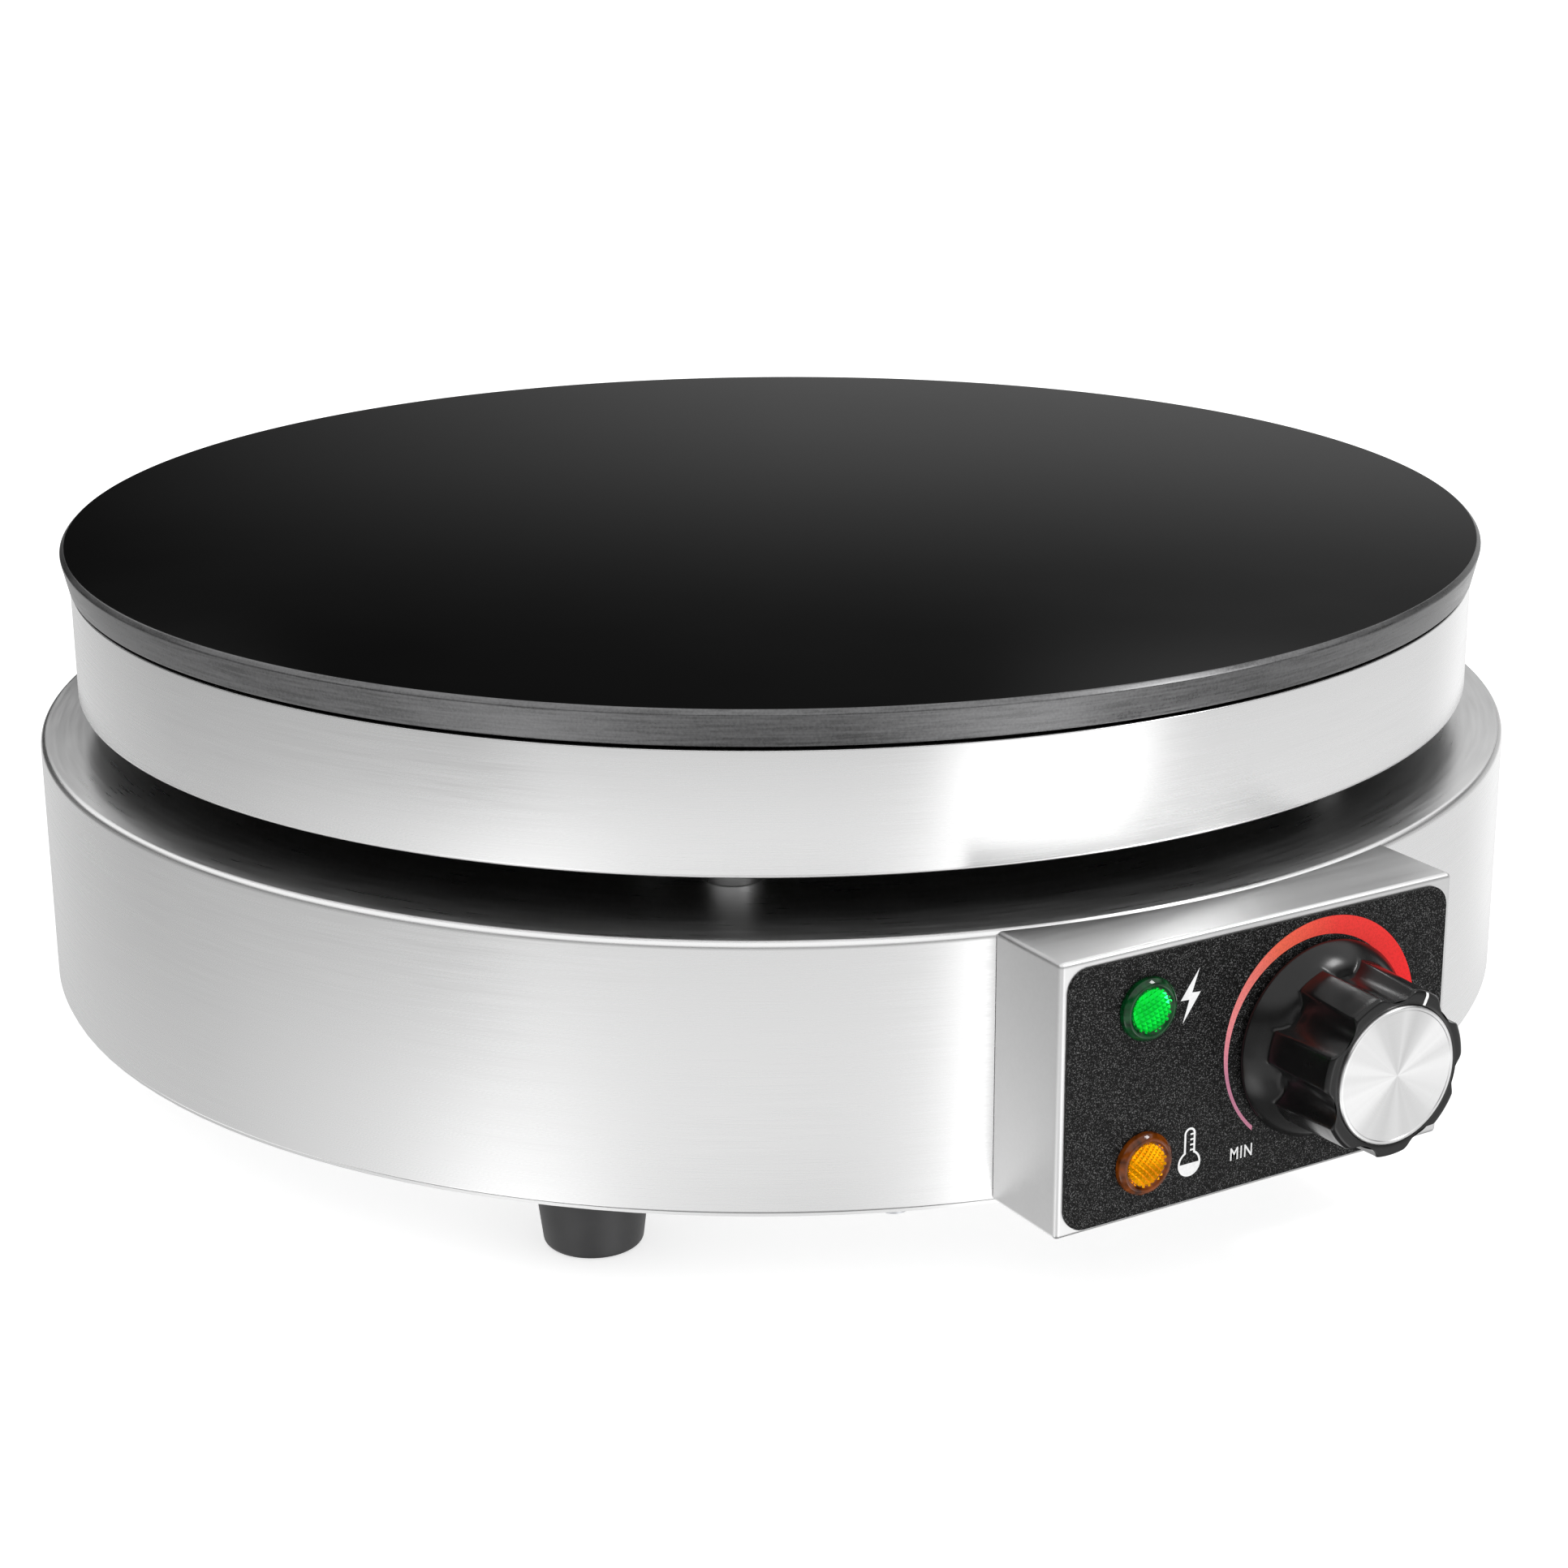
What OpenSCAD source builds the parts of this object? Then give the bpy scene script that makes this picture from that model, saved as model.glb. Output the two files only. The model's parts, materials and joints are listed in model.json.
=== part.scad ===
// Round electric crepe griddle: a cast-iron plate on a stainless ring, posts, a drum and a control box.
// Millimetres. The origin is the centre of the cooking surface, +Z is up and -Y is the front.

/* [Cooking plate] */
// Diameter of the cooking surface
plate_d = 400; // [380:1:420]
// Height of the rim that shows
rim_h = 9.3; // [8:0.1:11]
// Chamfer along the top edge
rim_chamfer = 1.2; // [0.5:0.1:2]
// How much smaller in radius the rim is at its underside
rim_draft = 1.8; // [0.5:0.1:3]
// Full thickness behind the rim
plate_t = 13; // [12:0.5:14]

/* [Upper ring] */
// How far the ring stands in from the plate's edge
ring_inset = 2.3; // [1.5:0.1:4]
// Gap between the rim and the ring
ring_gap = 1; // [0.5:0.1:1.5]
// Height of the ring
ring_h = 31.5; // [31:0.1:36]
// Thickness of the stainless sheet
sheet = 1; // [0.8:0.1:1.2]

/* [Drum] */
// How far the drum stands out past the plate's edge
drum_out = 9; // [7:0.5:12]
// Height of the drum
drum_h = 68.9; // [66:0.1:74]
// Air gap between the ring and the drum
air_gap = 11.4; // [9:0.1:15]
// Diameter of the posts in the gap
post_d = 15.5; // [12:0.5:18]
// Angle of the front posts from straight ahead
post_angle = 34; // [30:1:40]

/* [Control box] */
// Width of the box
box_w = 117; // [114:0.5:124]
// Distance of its front face from the plate's axis
box_reach = 226.3; // [224:0.1:236]
// Width of the black overlay
panel_w = 113; // [108:0.5:113]
// Height of the black overlay
panel_h = 65.5; // [62:0.5:65.5]
// Sideways place of the lamps
lamp_x = -34.3; // [-40:0.1:-30]
// Distance between the lamps
lamp_pitch = 39; // [34:0.5:42]
// Diameter of a lamp lens
lens_d = 15.6; // [14:0.1:17]

/* [Knob] */
// Sideways place of the knob
knob_x = 18; // [14:0.1:22]
// Diameter of the skirt
skirt_d = 50; // [46:0.5:52]
// Diameter over the lobes at their foot
lobe_d = 44; // [42:0.5:45]
// Diameter over the lobes at the front
lobe_front_d = 41.6; // [40:0.2:42]
// Number of lobes
lobes = 7; // [6:1:9]
// Diameter of the spun cap
cap_d = 34.5; // [32:0.1:35]
// Direction of the pointer, clockwise from straight up
pointer_deg = 25; // [0:1:90]

/* [Feet] */
// Radius of the circle that the feet stand on
foot_circle_r = 182; // [176:1:186]
// Diameter of a foot at its top
foot_top_d = 29.8; // [26:0.2:32]
// Diameter of a foot at its sole
foot_sole_d = 23.8; // [20:0.2:25]
// Height of a foot
foot_h = 21.1; // [20:0.1:26]

/* [Cord gland] */
// Diameter of the cord that the seal takes
cord_d = 9; // [8:0.1:9.6]
// Height of the gland's axis above the drum's bottom edge
gland_up = 30; // [26:1:36]

/* [Hidden] */
fine = 180;
round_fn = 48;
plate_r = plate_d / 2;
rim_r = plate_r - rim_draft;
ring_r = plate_r - ring_inset;
drum_r = plate_r + drum_out;
post_r = ring_r - 34.2;
quarter = 90;

// Heights, from the cooking surface down
z_rim = -rim_h;
z_under = -plate_t;
element_r = 4.25;
z_element = z_under - element_r;
clamp_t = 2;
z_clamp = z_element - element_r - clamp_t;
mat_t = 9;
mat_gap = 0.5;
z_mat = z_clamp - mat_gap - mat_t;
z_ring_top = z_rim - ring_gap;
z_ring_bottom = z_ring_top - ring_h;
pan_t = 1.2;
pan_clear = 0.5;
z_pan = z_ring_bottom + sheet;
z_pan_top = z_pan + pan_t;
z_drum_top = z_ring_bottom - air_gap;
z_drum_inside = z_drum_top - sheet;
z_drum_bottom = z_drum_top - drum_h;
cover_t = 0.8;
z_cover = z_drum_bottom - cover_t;
z_rest = z_cover - foot_h;

// Plate fixings and heating elements
spigot_r = ring_r - 8;
stud_circle_r = 122;
stud_r = 3;
stud_depth = 8;
stud_clear = 0.3;
nut_r = 5.77;
nut_h = 5;
stud_end = 2;
outer_loop_r = 150;
inner_loop_r = 95;
outer_gap_deg = 26;
inner_gap_deg = 40;
bend_r = 10;
leg_h = 6;
pin_r = 1.75;
pin_h = 4.75;
clamp_r = 168;
mat_r = 164;
centre_hole_r = 15;
leg_hole_r = 13;

// Conduit, posts and their bolts
conduit_r = 12;
conduit_wall = 1.5;
conduit_flange_r = 19;
conduit_flange_t = 1.2;
post_edge = 0.5;
bolt_r = 3;
bolt_head_h = 4;
bolt_end = 8;
washer_t = 1.2;
washer_r = 6.2;

// Drum and bottom cover
fold_r = 2;
flange_w = 15;
cover_inset = 0.6;
cover_screw_r = 1.75;
cover_screw_circle_r = drum_r - 8;
cover_screws_n = 8;
cover_head_r = 3.6;
cover_head_h = 2.4;
cover_screw_h = 5;
vent_l = 64;
vent_w = 5;
vent_pitch = 16;
vent_rows = 4;

// Feet
foot_edge = 1.6;
foot_head_r = 4.5;
foot_head_h = 3;

// Control box and its overlay
box_bend = 1.2;
window_margin = 6;
panel_t = 0.7;
panel_corner = 5.8;
panel_y = box_reach + panel_t;
z_panel = (z_drum_top + z_drum_bottom) / 2 - 0.3;
knob_rise = 0.9;
lamp_hole_r = 6;
shaft_hole_r = 5.5;
screw_pitch = 28;
screw_hole_r = 2.1;
inner_face = -panel_t - sheet;

// Lamps, along the panel's outward normal
lens_r = lens_d / 2;
lens_rim_h = 1.6;
lens_bevel_r = 5.6;
lens_bevel_h = 3;
lens_h = 4.3;
lens_stem_r = 5.9;
lens_stem_h = 7;
lens_bore_r = 4.4;
lens_bore_top = 1.5;
lamp_body_r = 7.6;
lamp_body_end = 22;
lamp_floor = 8.5;
neon_r = 2.9;
neon_seat = 12;
neon_top = -2.2;
tab_w = 6.3;
tab_t = 0.8;
tab_h = 9;
tab_spread = 3.5;

// Thermostat and shaft, along the panel's outward normal
shaft_r = 3;
shaft_clear = 0.05;
shaft_front = 19;
shaft_back = -14;
flat_from = 6;
flat_y = 1.5;
collar_r = 5.5;
collar_z = -11;
collar_h = 2;
stat_w = 44;
stat_h = 38;
stat_d = 16;
stat_cavity_r = 9;
stat_bore_l = 6;
stat_boss_r = 5;
stat_base_d = 12;
stat_base_w = 38;
stat_base_h = 32;
stat_screw_r = 2;
stat_screw_l = 6;
stat_head_r = 3.9;
stat_head_h = 2.4;
stat_tab_x = [-13, 4];
stat_tab_y = [-9, 5];

// Knob, along the panel's outward normal
knob_gap = 0.8;
skirt_rim_h = 1.9;
skirt_slope_h = 4.4;
skirt_edge = 0.5;
skirt_lip = 0.8;
skirt_foot = 1.2;
knob_front = 27.6;
front_chamfer = 1.1;
recess_r = 21;
recess_top = 4.4;
flute_r = 7.2;
flute_depth = 2.6;
cap_seat = 1.4;
cap_t = 2.1;
cap_bevel = 0.7;
insert_r = 6;
insert_from = 7;
insert_to = 20;
hub_wall = 2.5;
shaft_room = 1;
grub_r = 2;
grub_z = 13;
grub_l = 13;

// Gland, along the outward normal of the drum's back
z_gland = z_drum_bottom + gland_up;
gland_thread_r = 8;
gland_bore_r = 5.6;
gland_hex_r = 13.8;
gland_hex_h = 5;
gland_tail = 12;
gland_front = 10;
gasket_t = 1;
gasket_r = 14;
seal_from = 7;
seal_to = 20;
cap_nut_to = 23;
cap_nut_r = 11.8;
cap_nut_face = 2;
locknut_r = 12.6;
locknut_h = 4;
thread_gap = 0.1;

// Supply terminals
bracket_w = 64;
bracket_h = 44;
bracket_t = 1.2;
bracket_flange = 12;
bracket_x = -72;
bracket_y = 150;
block_w = 48;
block_d = 18;
block_h = 22;
block_ways = 3;
rib_t = 2;
block_x = bracket_x + (bracket_w - block_w) / 2;
z_block = z_drum_inside - bracket_h + 2;
earth_x = 42;
earth_y = 150;
earth_r = 2.5;
earth_l = 18;
earth_nut_up = 5;

// Sensing bulb and safety cut-out
bulb_r = 3;
bulb_l = 80;
bulb_y = -40;
z_bulb = z_under - bulb_r;
clip_w = 12;
clip_wing = 9;
clip_t = 1;
cutout_y = 45;
cutout_r = 8;
cutout_h = 6;
cutout_body_r = 6.5;
cutout_body_h = 6;
cutout_hole_r = 12;

// Routes of the inner wires, point by point
wire_r = 1.3;
capillary_r = 0.8;
wire_sides = 8;
wire_steps = 4;
side_hint = [0.3, 0.9, 0.2];
capillary_route = [
    [12, -196, -78], [12, -186, -78], [12, -150, -88], [6, -70, -96], [2, -14, -84], [1, -8, -66],
    [0, -8, -48], [-1, -8, -34], [-5, -7, -25], [-12, -9, -19], [-30, -12, -17], [-52, -18, -16],
    [-62, -30, -16], [-58, -39, -16], [-50, -40, -16], [-40.5, -40, -16]
];
red_route = [
    [26, -194, -86], [26, -184, -86], [24, -140, -94], [12, -60, -104], [0, -6, -96], [0, 7, -82],
    [1, 7, -66], [1, 7, -48], [4, 12, -38], [14, 40, -36.4], [36, 100, -36.4], [36, 136, -36.4],
    [28, 147, -36.4]
];
blue_route = [
    [-55, 136, -85], [-55, 128, -86], [-48, 90, -98], [-24, 30, -92], [-9, 6, -80], [-7, 4, -66],
    [-7, 4, -48], [-8, 6, -38], [-12, 16, -36.4], [-20, 50, -36.4], [-27, 78, -36.4], [-27, 90, -36.4]
];
brown_route = [
    [-40, 136, -85], [-40, 128, -86], [-34, 80, -106], [-10, -20, -110], [4, -120, -104], [10, -176, -96],
    [10, -184, -94], [10, -194, -92]
];
link_route = [
    [27, 94, -36.4], [30, 104, -36.4], [28, 118, -36.4], [4, 126, -36.4], [-14, 136, -36.4],
    [-21, 145, -36.4]
];
earth_route = [
    [42, 144, -66], [42, 138, -68], [36, 90, -84], [18, 20, -92], [14, -6, -80], [7, -4, -66], [7, -4, -48],
    [9, -8, -38], [24, -30, -36.4], [50, -56, -36.4], [72, -74, -36.4], [79, -80, -36.4]
];

// A smooth line through the points of a route
function spline(p, n) = [
    for (i = [0:len(p) - 2])
        for (k = [0:n - 1])
            let (a = p[max(i - 1, 0)], b = p[i], c = p[i + 1], d = p[min(i + 2, len(p) - 1)], t = k / n)
                (2 * b + t * (c - a) + t * t * (2 * a - 5 * b + 4 * c - d)
                    + t * t * t * (3 * b - a - 3 * c + d)) / 2,
    p[len(p) - 1]
];
function unit(v) = v / norm(v);
function square_to(u, t) = unit(u - (u * t) * t);
function tangents(q) = [
    for (i = [0:len(q) - 1]) unit(q[min(i + 1, len(q) - 1)] - q[max(i - 1, 0)])
];
function sides(t) = [
    for (i = 0, u = square_to(side_hint, t[0]); i < len(t);
        i = i + 1, u = square_to(u, t[min(i, len(t) - 1)])) u
];

// A round wire or tube along a route
module wire(route, r) {
    q = spline(route, wire_steps);
    t = tangents(q);
    s = sides(t);
    m = wire_sides;
    last = (len(q) - 1) * m;
    points = [
        for (i = [0:len(q) - 1])
            for (k = [0:m - 1])
                q[i] + r * (cos(k * 360 / m) * s[i] + sin(k * 360 / m) * cross(t[i], s[i]))
    ];
    walls = [
        for (i = [0:len(q) - 2])
            for (k = [0:m - 1])
                let (a = i * m + k, b = i * m + (k + 1) % m)
                    each [[a, b + m, b], [a, a + m, b + m]]
    ];
    ends = [[for (k = [0:m - 1]) k], [for (k = [m - 1:-1:0]) last + k]];
    polyhedron(points, concat(walls, ends));
}

// Four or more copies around the plate's axis, at a radius
module around(angles, r) {
    for (a = angles)
        rotate([0, 0, a]) translate([0, -r, 0]) children();
}
module at_studs() { around([45, 135, 225, 315], stud_circle_r) children(); }
module at_posts() {
    around([-post_angle, post_angle, 180 - post_angle, 180 + post_angle], post_r) children();
}
module at_feet() { around([45, 135, 225, 315], foot_circle_r) children(); }
module at_cover_screws() {
    step = 360 / cover_screws_n;
    around([for (i = [0:cover_screws_n - 1]) step * (i + 0.5)], cover_screw_circle_r) children();
}

// Frames: on the panel's face with Z outwards, on the knob, and on the drum's back with Z outwards
module on_panel(x, up) { translate([x, -panel_y, z_panel + up]) rotate([90, 0, 0]) children(); }
module on_knob_axis() { on_panel(knob_x, knob_rise) children(); }
module on_knob() { on_knob_axis() rotate([0, 0, -pointer_deg]) children(); }
module at_lamps() {
    for (side = [-1, 1])
        on_panel(lamp_x, side * lamp_pitch / 2) children();
}
module on_back() { translate([0, drum_r, z_gland]) rotate([-90, 0, 0]) children(); }

module pillar(r, z0, z1, fn = round_fn) { translate([0, 0, z0]) cylinder(r = r, h = z1 - z0, $fn = fn); }
module pipe(r, bore, z0, z1) {
    difference() {
        pillar(r, z0, z1);
        pillar(bore, z0 - 1, z1 + 1);
    }
}
module hex_nut(r, bore, z0, h) {
    difference() {
        pillar(r, z0, z0 + h, 6);
        pillar(bore, z0 - 1, z0 + h + 1);
    }
}
module rounded_rect(w, h, r) {
    square([w - 2 * r, h], center = true);
    square([w, h - 2 * r], center = true);
    for (x = [-1, 1])
        for (y = [-1, 1])
            translate([x * (w / 2 - r), y * (h / 2 - r)]) circle(r = r, $fn = round_fn);
}

// Upper unit
module cooking_plate() {
    color("#1c1c1d") difference() {
        rotate_extrude($fn = fine) polygon([
            [0, 0], [plate_r - rim_chamfer, 0], [plate_r, -rim_chamfer], [rim_r, z_rim],
            [spigot_r, z_rim], [spigot_r, z_under], [0, z_under]
        ]);
        at_studs() pillar(stud_r, z_under - 1, z_under + stud_depth);
        at_clip_screw() pillar(cover_screw_r, z_under - 1, z_under + cover_screw_h);
    }
}
module heating_loop(loop_r, gap_deg) {
    translate([0, 0, z_element]) rotate([0, 0, quarter + gap_deg / 2])
        rotate_extrude(angle = 360 - gap_deg, $fn = fine)
            translate([loop_r, 0]) circle(r = element_r, $fn = round_fn);
}
module outer_heating_element() { color("#4d4a47") heating_loop(outer_loop_r, outer_gap_deg); }
module inner_heating_element() { color("#4d4a47") heating_loop(inner_loop_r, inner_gap_deg); }

// The unheated end of an element: it bends down and carries the terminal pin
module cold_end(loop_r) {
    translate([loop_r, 0, -bend_r]) {
        rotate([0, 90, 0]) rotate([0, 0, 180]) rotate_extrude(angle = quarter, $fn = fine)
            translate([bend_r, 0]) circle(r = element_r, $fn = round_fn);
        translate([0, -bend_r, 0]) {
            pillar(element_r, -leg_h, 0);
            pillar(pin_r, -leg_h - pin_h, -leg_h);
        }
    }
}
module element_cold_ends() {
    color("#8b8c8e") translate([0, 0, z_element])
        for (loop = [[outer_loop_r, outer_gap_deg], [inner_loop_r, inner_gap_deg]]) {
            rotate([0, 0, quarter + loop[1] / 2]) cold_end(loop[0]);
            rotate([0, 0, quarter - loop[1] / 2]) mirror([0, 1, 0]) cold_end(loop[0]);
        }
}

// The holes where the elements' legs come down
module leg_holes(z0, z1) {
    for (loop = [[outer_loop_r, outer_gap_deg], [inner_loop_r, inner_gap_deg]])
        for (side = [-1, 1])
            rotate([0, 0, side * (loop[1] / 2 - asin(bend_r / 2 / loop[0]))])
                translate([0, loop[0], 0]) pillar(leg_hole_r, z0, z1);
}
module element_clamp_plate() {
    color("#8f9296") difference() {
        pillar(clamp_r, z_clamp, z_clamp + clamp_t, fine);
        pillar(centre_hole_r, z_clamp - 1, z_clamp + clamp_t + 1);
        leg_holes(z_clamp - 1, z_clamp + clamp_t + 1);
        translate([0, cutout_y, 0]) pillar(cutout_hole_r, z_clamp - 1, z_clamp + clamp_t + 1);
        at_studs() pillar(stud_r + stud_clear, z_clamp - 1, z_clamp + clamp_t + 1);
    }
}
module insulation_mat() {
    z_top = z_mat + mat_t;
    color("#e8e4d8") difference() {
        pillar(mat_r, z_mat, z_top, fine);
        pillar(centre_hole_r, z_mat - 1, z_top + 1);
        leg_holes(z_mat - 1, z_top + 1);
        translate([0, cutout_y, 0]) pillar(cutout_hole_r, z_mat - 1, z_top + 1);
        at_studs() pillar(nut_r + 2, z_mat - 1, z_top + 1);
    }
}
module plate_studs() {
    color("#b9bbbe") at_studs() pillar(stud_r, z_pan - nut_h - stud_end, z_under + stud_depth);
}
module plate_stud_nuts() {
    color("#b9bbbe") at_studs()
        for (z = [z_clamp - nut_h, z_pan_top, z_pan - nut_h])
            hex_nut(nut_r, stud_r, z, nut_h);
}
module sensing_bulb() {
    color("#b87b52") translate([-bulb_l / 2, bulb_y, z_bulb]) rotate([0, 90, 0])
        cylinder(r = bulb_r, h = bulb_l, $fn = round_fn);
}
module clip_outline() {
    outer = bulb_r + clip_t;
    difference() {
        union() {
            circle(r = outer, $fn = round_fn);
            translate([-outer, 0]) square([2 * outer, bulb_r]);
        }
        circle(r = bulb_r, $fn = round_fn);
        translate([-bulb_r, 0]) square([2 * bulb_r, 2 * bulb_r]);
        translate([-outer, bulb_r]) square([2 * outer, outer]);
    }
    translate([-outer - clip_wing, bulb_r - clip_t]) square([clip_wing + clip_t / 2, clip_t]);
}
module bulb_clip() {
    color("#b9bbbe") difference() {
        translate([-clip_w / 2, bulb_y, z_bulb]) rotate([90, 0, 90]) linear_extrude(clip_w) clip_outline();
        at_clip_screw() pillar(cover_screw_r, z_under - 2 * clip_t, z_under + 1);
    }
}
module at_clip_screw() { translate([0, bulb_y - bulb_r - clip_t - clip_wing / 2, 0]) children(); }
module bulb_clip_screw() {
    color("#b9bbbe") at_clip_screw() union() {
        pillar(cover_head_r, z_under - clip_t - cover_head_h, z_under - clip_t);
        pillar(cover_screw_r, z_under - clip_t - 1, z_under + cover_screw_h);
    }
}
module capillary_tube() { color("#b87333") wire(capillary_route, capillary_r); }
module thermal_cutout() {
    z0 = z_under - cutout_h;
    color("#3a3a3a") translate([0, cutout_y, 0]) union() {
        pillar(cutout_r, z0, z_under);
        pillar(cutout_body_r, z0 - cutout_body_h, z0);
        for (side = [-1, 1])
            translate([side * tab_spread - tab_t / 2, -tab_w / 2, z0 - cutout_body_h - tab_h / 2])
                cube([tab_t, tab_w, tab_h]);
    }
}
module upper_ring() {
    color("#d4d6d8") rotate_extrude($fn = fine) difference() {
        union() {
            translate([ring_r - sheet, z_ring_bottom + box_bend]) square([sheet, ring_h - box_bend]);
            translate([ring_r - flange_w, z_ring_bottom]) square([flange_w - box_bend, sheet]);
            translate([ring_r - box_bend, z_ring_bottom + box_bend]) circle(r = box_bend, $fn = round_fn);
        }
        translate([ring_r - sheet - flange_w, z_pan]) square([flange_w, ring_h]);
    }
}
module pan_floor() {
    color("#c6c8ca") difference() {
        pillar(ring_r - sheet - pan_clear, z_pan, z_pan_top, fine);
        pillar(conduit_r, z_pan - 1, z_pan_top + 1);
        at_studs() pillar(stud_r + stud_clear, z_pan - 1, z_pan_top + 1);
        at_posts() pillar(bolt_r + stud_clear, z_pan - 1, z_pan_top + 1);
    }
}

// Between the ring and the drum
module standoff_posts() {
    color("#e2e4e6") at_posts() rotate_extrude($fn = round_fn) polygon([
        [bolt_r + stud_clear, z_drum_top], [post_d / 2 - post_edge, z_drum_top],
        [post_d / 2, z_drum_top + post_edge], [post_d / 2, z_pan - post_edge],
        [post_d / 2 - post_edge, z_pan],
        [bolt_r + stud_clear, z_pan]
    ]);
}
module post_bolts() {
    color("#b9bbbe") at_posts() union() {
        pillar(nut_r, z_pan_top, z_pan_top + bolt_head_h, 6);
        pillar(bolt_r, z_drum_inside - bolt_end, z_pan_top + 1);
    }
}
module post_nuts() {
    color("#b9bbbe") at_posts() union() {
        pipe(washer_r, bolt_r, z_drum_inside - washer_t, z_drum_inside);
        hex_nut(nut_r, bolt_r, z_drum_inside - washer_t - nut_h, nut_h);
    }
}
module wire_conduit() {
    outer = conduit_r + conduit_wall;
    color("#a9abae") rotate_extrude($fn = round_fn) polygon([
        [conduit_r, z_drum_top], [conduit_flange_r, z_drum_top],
        [conduit_flange_r, z_drum_top + conduit_flange_t], [outer, z_drum_top + conduit_flange_t],
        [outer, z_pan - conduit_flange_t], [conduit_flange_r, z_pan - conduit_flange_t],
        [conduit_flange_r, z_pan], [conduit_r, z_pan]
    ]);
}

// Base
module drum_outline(inset) {
    r = drum_r - inset;
    top = z_drum_top - inset;
    fold = fold_r - inset;
    low = z_drum_bottom + inset;
    translate([0, low]) square([r, top - fold - low]);
    translate([0, low]) square([r - fold, top - low]);
    translate([r - fold, top - fold]) circle(r = fold, $fn = round_fn);
}
module drum_shell() {
    color("#d9dbdd") difference() {
        rotate_extrude($fn = fine) difference() {
            drum_outline(0);
            drum_outline(sheet);
            translate([0, z_drum_bottom - 1]) square([drum_r - flange_w, sheet + 2]);
        }
        pillar(conduit_r, z_drum_inside - 1, z_drum_top + 1);
        at_posts() pillar(bolt_r + stud_clear, z_drum_inside - 1, z_drum_top + 1);
        at_cover_screws() pillar(cover_screw_r, z_drum_bottom - 1, z_drum_bottom + 2 * sheet);
        translate([-box_w / 2 + window_margin, -drum_r - 1, z_drum_bottom + window_margin])
            cube([box_w - 2 * window_margin, 2 * flange_w, drum_h - 2 * window_margin]);
        on_back() pillar(gland_thread_r + thread_gap, -3 * sheet, sheet);
    }
}
module bottom_cover() {
    z0 = z_cover - 1;
    z1 = z_drum_bottom + 1;
    color("#bfc1c3") difference() {
        pillar(drum_r - cover_inset, z_cover, z_drum_bottom, fine);
        at_cover_screws() pillar(cover_screw_r + thread_gap, z0, z1);
        at_feet() pillar(earth_r + thread_gap, z0, z1);
        for (column = [-1, 1])
            for (i = [0:vent_rows - 1])
                translate([column * vent_l, (i - (vent_rows - 1) / 2) * vent_pitch, 0]) vent(z0, z1);
    }
}
module vent(z0, z1) {
    straight = vent_l - vent_w - vent_pitch;
    translate([-straight / 2, -vent_w / 2, z0]) cube([straight, vent_w, z1 - z0]);
    for (end = [-1, 1])
        translate([end * straight / 2, 0, 0]) pillar(vent_w / 2, z0, z1);
}
module cover_screws() {
    color("#b9bbbe") at_cover_screws() union() {
        pillar(cover_head_r, z_cover - cover_head_h, z_cover);
        pillar(cover_screw_r, z_cover - 1, z_cover + cover_screw_h);
    }
}
module rubber_feet() {
    bore = earth_r + thread_gap;
    well_r = washer_r + stud_clear;
    edge_r = foot_sole_d / 2 + foot_edge / 4;
    color("#3a3b3c") at_feet() rotate_extrude($fn = round_fn) difference() {
        union() {
            polygon([
                [0, z_cover], [foot_top_d / 2, z_cover], [edge_r, z_rest + foot_edge],
                [edge_r - foot_edge, z_rest], [0, z_rest]
            ]);
            translate([edge_r - foot_edge, z_rest + foot_edge]) circle(r = foot_edge, $fn = round_fn);
        }
        translate([0, z_rest - 1]) square([bore, foot_h + 2]);
        translate([0, z_rest - 1]) square([well_r, foot_h / 2 + 1]);
    }
}
module foot_screws() {
    z_head = z_rest + foot_h / 2 - washer_t;
    color("#b9bbbe") at_feet() union() {
        pillar(foot_head_r, z_head - foot_head_h, z_head);
        pillar(earth_r, z_head - 1, z_drum_bottom + nut_h + 1);
    }
}
module foot_washers() {
    z_top = z_rest + foot_h / 2;
    color("#c9cbcd") at_feet() pipe(washer_r, earth_r + thread_gap, z_top - washer_t, z_top);
}
module foot_nuts() { color("#b9bbbe") at_feet() hex_nut(nut_r - 1, earth_r, z_drum_bottom, nut_h - 1); }

// Control box
module box_outline(w, h) {
    translate([0, h / 2]) rounded_rect(w, h, box_bend);
}
module control_box() {
    depth = 2 * box_reach;
    color("#d2d4d6") difference() {
        intersection() {
            translate([0, -box_reach, z_drum_bottom]) linear_extrude(drum_h) box_outline(box_w, depth);
            translate([-box_w, -box_reach, (z_drum_top + z_drum_bottom) / 2])
                rotate([0, 90, 0]) linear_extrude(2 * box_w) box_outline(drum_h, depth);
        }
        translate([-box_w / 2 + sheet, -box_reach + sheet, z_drum_bottom + sheet])
            cube([box_w - 2 * sheet, depth, drum_h - 2 * sheet]);
        pillar(drum_r, z_drum_bottom - 1, z_drum_top + 1, fine);
        translate([-box_w, -drum_r / 2, z_drum_bottom - 1]) cube([2 * box_w, 2 * depth, drum_h + 2]);
        at_lamps() pillar(lamp_hole_r, inner_face - 1, 1);
        on_knob_axis() pillar(shaft_hole_r, inner_face - 1, 1);
        on_knob_axis() stat_screw_spots() pillar(screw_hole_r, inner_face - 1, 1);
    }
}
module stat_screw_spots() {
    for (side = [-1, 1])
        translate([side * screw_pitch / 2, 0, 0]) children();
}
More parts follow.
